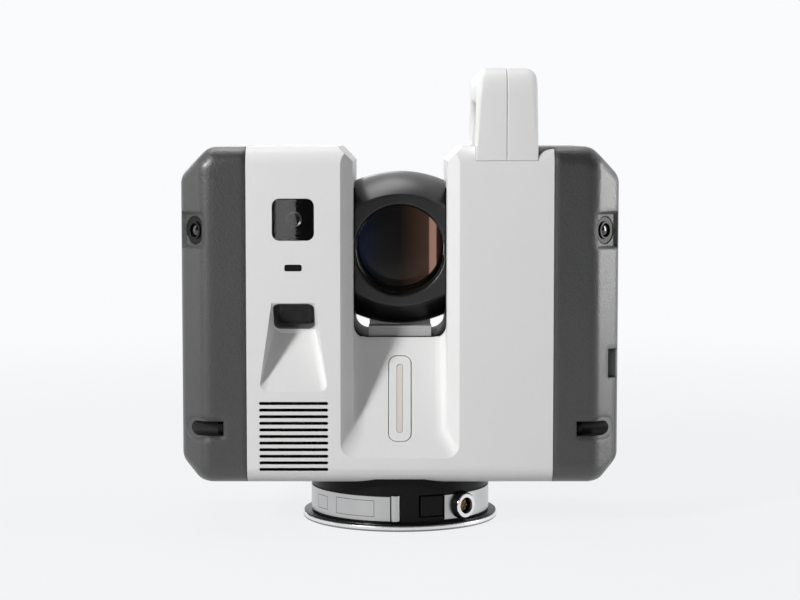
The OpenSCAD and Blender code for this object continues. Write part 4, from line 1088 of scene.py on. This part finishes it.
class SCANNER_OT_stage(bpy.types.Operator):
    """Pale floor, white surroundings, studio lights and the camera"""
    bl_idname = "scanner.stage"
    bl_label = "Studio"

    def execute(self, context):
        studio = context.scene.scanner_studio
        scene = context.scene
        scene.view_settings.view_transform = "Standard"
        self.floor(scene)
        self.world(scene, studio)
        for name, place, target, size in LAMPS:
            self.lamp(scene, name, getattr(studio, name), place, target, size)
        self.camera(scene, studio)
        return {"FINISHED"}

    def floor(self, scene):
        """Round pale floor just under the scanner, which keeps its shadow."""
        mesh = bpy.data.meshes.new("floor")
        count, reach, under = 64, 2.2, -0.0002
        turn = [2 * math.pi * i / count for i in range(count)]
        mesh.from_pydata([(reach * math.cos(a), reach * math.sin(a), under) for a in turn],
                         [], [range(count)])
        floor = bpy.data.objects.new("floor", mesh)
        scene.collection.objects.link(floor)
        f = Finish(bpy.data.materials.new("studio_floor"))
        x, y, z = f.axes()
        far = f.radius(x, y).step(0.25, 1.2)
        lift = self.seen(f.node("ShaderNodeLightPath")) * (0.86 + 0.14 * far)
        matt = f.node("ShaderNodeBsdfDiffuse", inputs={"Color": (*FLOOR, 1.0)})
        white = f.node("ShaderNodeEmission", inputs={"Color": (*WHITE, 1.0), "Strength": 1.0})
        f.close(f.node("ShaderNodeMixShader", inputs={0: lift, 1: matt, 2: white}))
        mesh.materials.append(f.owner)

    def world(self, scene, studio):
        """White surroundings whose front half is darker in reflections."""
        world = bpy.data.worlds.new("studio")
        scene.world = world
        f = Finish(world, "ShaderNodeOutputWorld")
        path = f.node("ShaderNodeLightPath")
        x, y, z = f.axes(f.node("ShaderNodeTexCoord", output="Generated"))
        front = path.out("Is Glossy Ray") * 0.9 * (1 - y.step(-0.35, 0.45))
        strength = studio.room + self.seen(path) * (1.0 - studio.room) - front
        f.close(f.node("ShaderNodeBackground", inputs={
            "Color": (*WHITE, 1.0), "Strength": strength}))

    def seen(self, path):
        """1 for rays that show the surroundings: to the camera, in metal and through glass."""
        straight = path.out("Is Camera Ray").larger(path.out("Is Glossy Ray"))
        return straight.larger(path.out("Is Transmission Ray"))

    def lamp(self, scene, name, power, place, target, size):
        """A soft lamp at that place which points at its target."""
        light = bpy.data.lights.new(name, "AREA")
        light.energy = power
        light.shape = "ELLIPSE" if size[0] == size[1] else "RECTANGLE"
        light.size, light.size_y = size
        lamp = bpy.data.objects.new(name, light)
        lamp.location = place
        lamp.rotation_euler = (Vector(target) - Vector(place)).to_track_quat("-Z", "Y").to_euler()
        lamp.visible_camera = False
        scene.collection.objects.link(lamp)

    def camera(self, scene, studio):
        """The camera in front of the scanner, tilted down a little."""
        camera = bpy.data.cameras.new("camera")
        camera.sensor_width = 36.0
        camera.lens = studio.lens
        camera.clip_start = 0.01
        seat = bpy.data.objects.new("camera", camera)
        seat.location = (0.0, -studio.distance, studio.height)
        seat.rotation_euler = (math.radians(90) - studio.tilt, 0.0, 0.0)
        scene.collection.objects.link(seat)
        scene.camera = seat


PIECES = (
    SCANNER_OT_shells, SCANNER_OT_covers, SCANNER_OT_handle, SCANNER_OT_rotor, SCANNER_OT_panes,
    SCANNER_OT_corner_cameras, SCANNER_OT_light_bar, SCANNER_OT_fan, SCANNER_OT_base,
    SCANNER_OT_socket, SCANNER_OT_display, SCANNER_OT_works, SCANNER_OT_stage)


class SCANNER_PT_panel(bpy.types.Panel):
    """Lists the scanner's pieces and their sizes"""
    bl_idname = "SCANNER_PT_panel"
    bl_label = "Laser scanner"
    bl_space_type = "VIEW_3D"
    bl_region_type = "UI"
    bl_category = "Scanner"

    def draw(self, context):
        for piece in PIECES:
            self.layout.operator(piece.bl_idname)
        for group in (context.scene.scanner_looks, context.scene.scanner_studio):
            for name in group.__annotations__:
                self.layout.prop(group, name)


CLASSES = (ScannerLooks, ScannerStudio, *PIECES, SCANNER_PT_panel)


def register():
    for cls in CLASSES:
        bpy.utils.register_class(cls)
    bpy.types.Scene.scanner_looks = PointerProperty(type=ScannerLooks)
    bpy.types.Scene.scanner_studio = PointerProperty(type=ScannerStudio)


def unregister():
    del bpy.types.Scene.scanner_studio
    del bpy.types.Scene.scanner_looks
    for cls in reversed(CLASSES):
        bpy.utils.unregister_class(cls)


def main():
    register()
    for piece in PIECES:
        group, name = piece.bl_idname.split(".")
        getattr(getattr(bpy.ops, group), name)()
    bpy.context.view_layer.update()


if __name__ == "__main__":
    main()
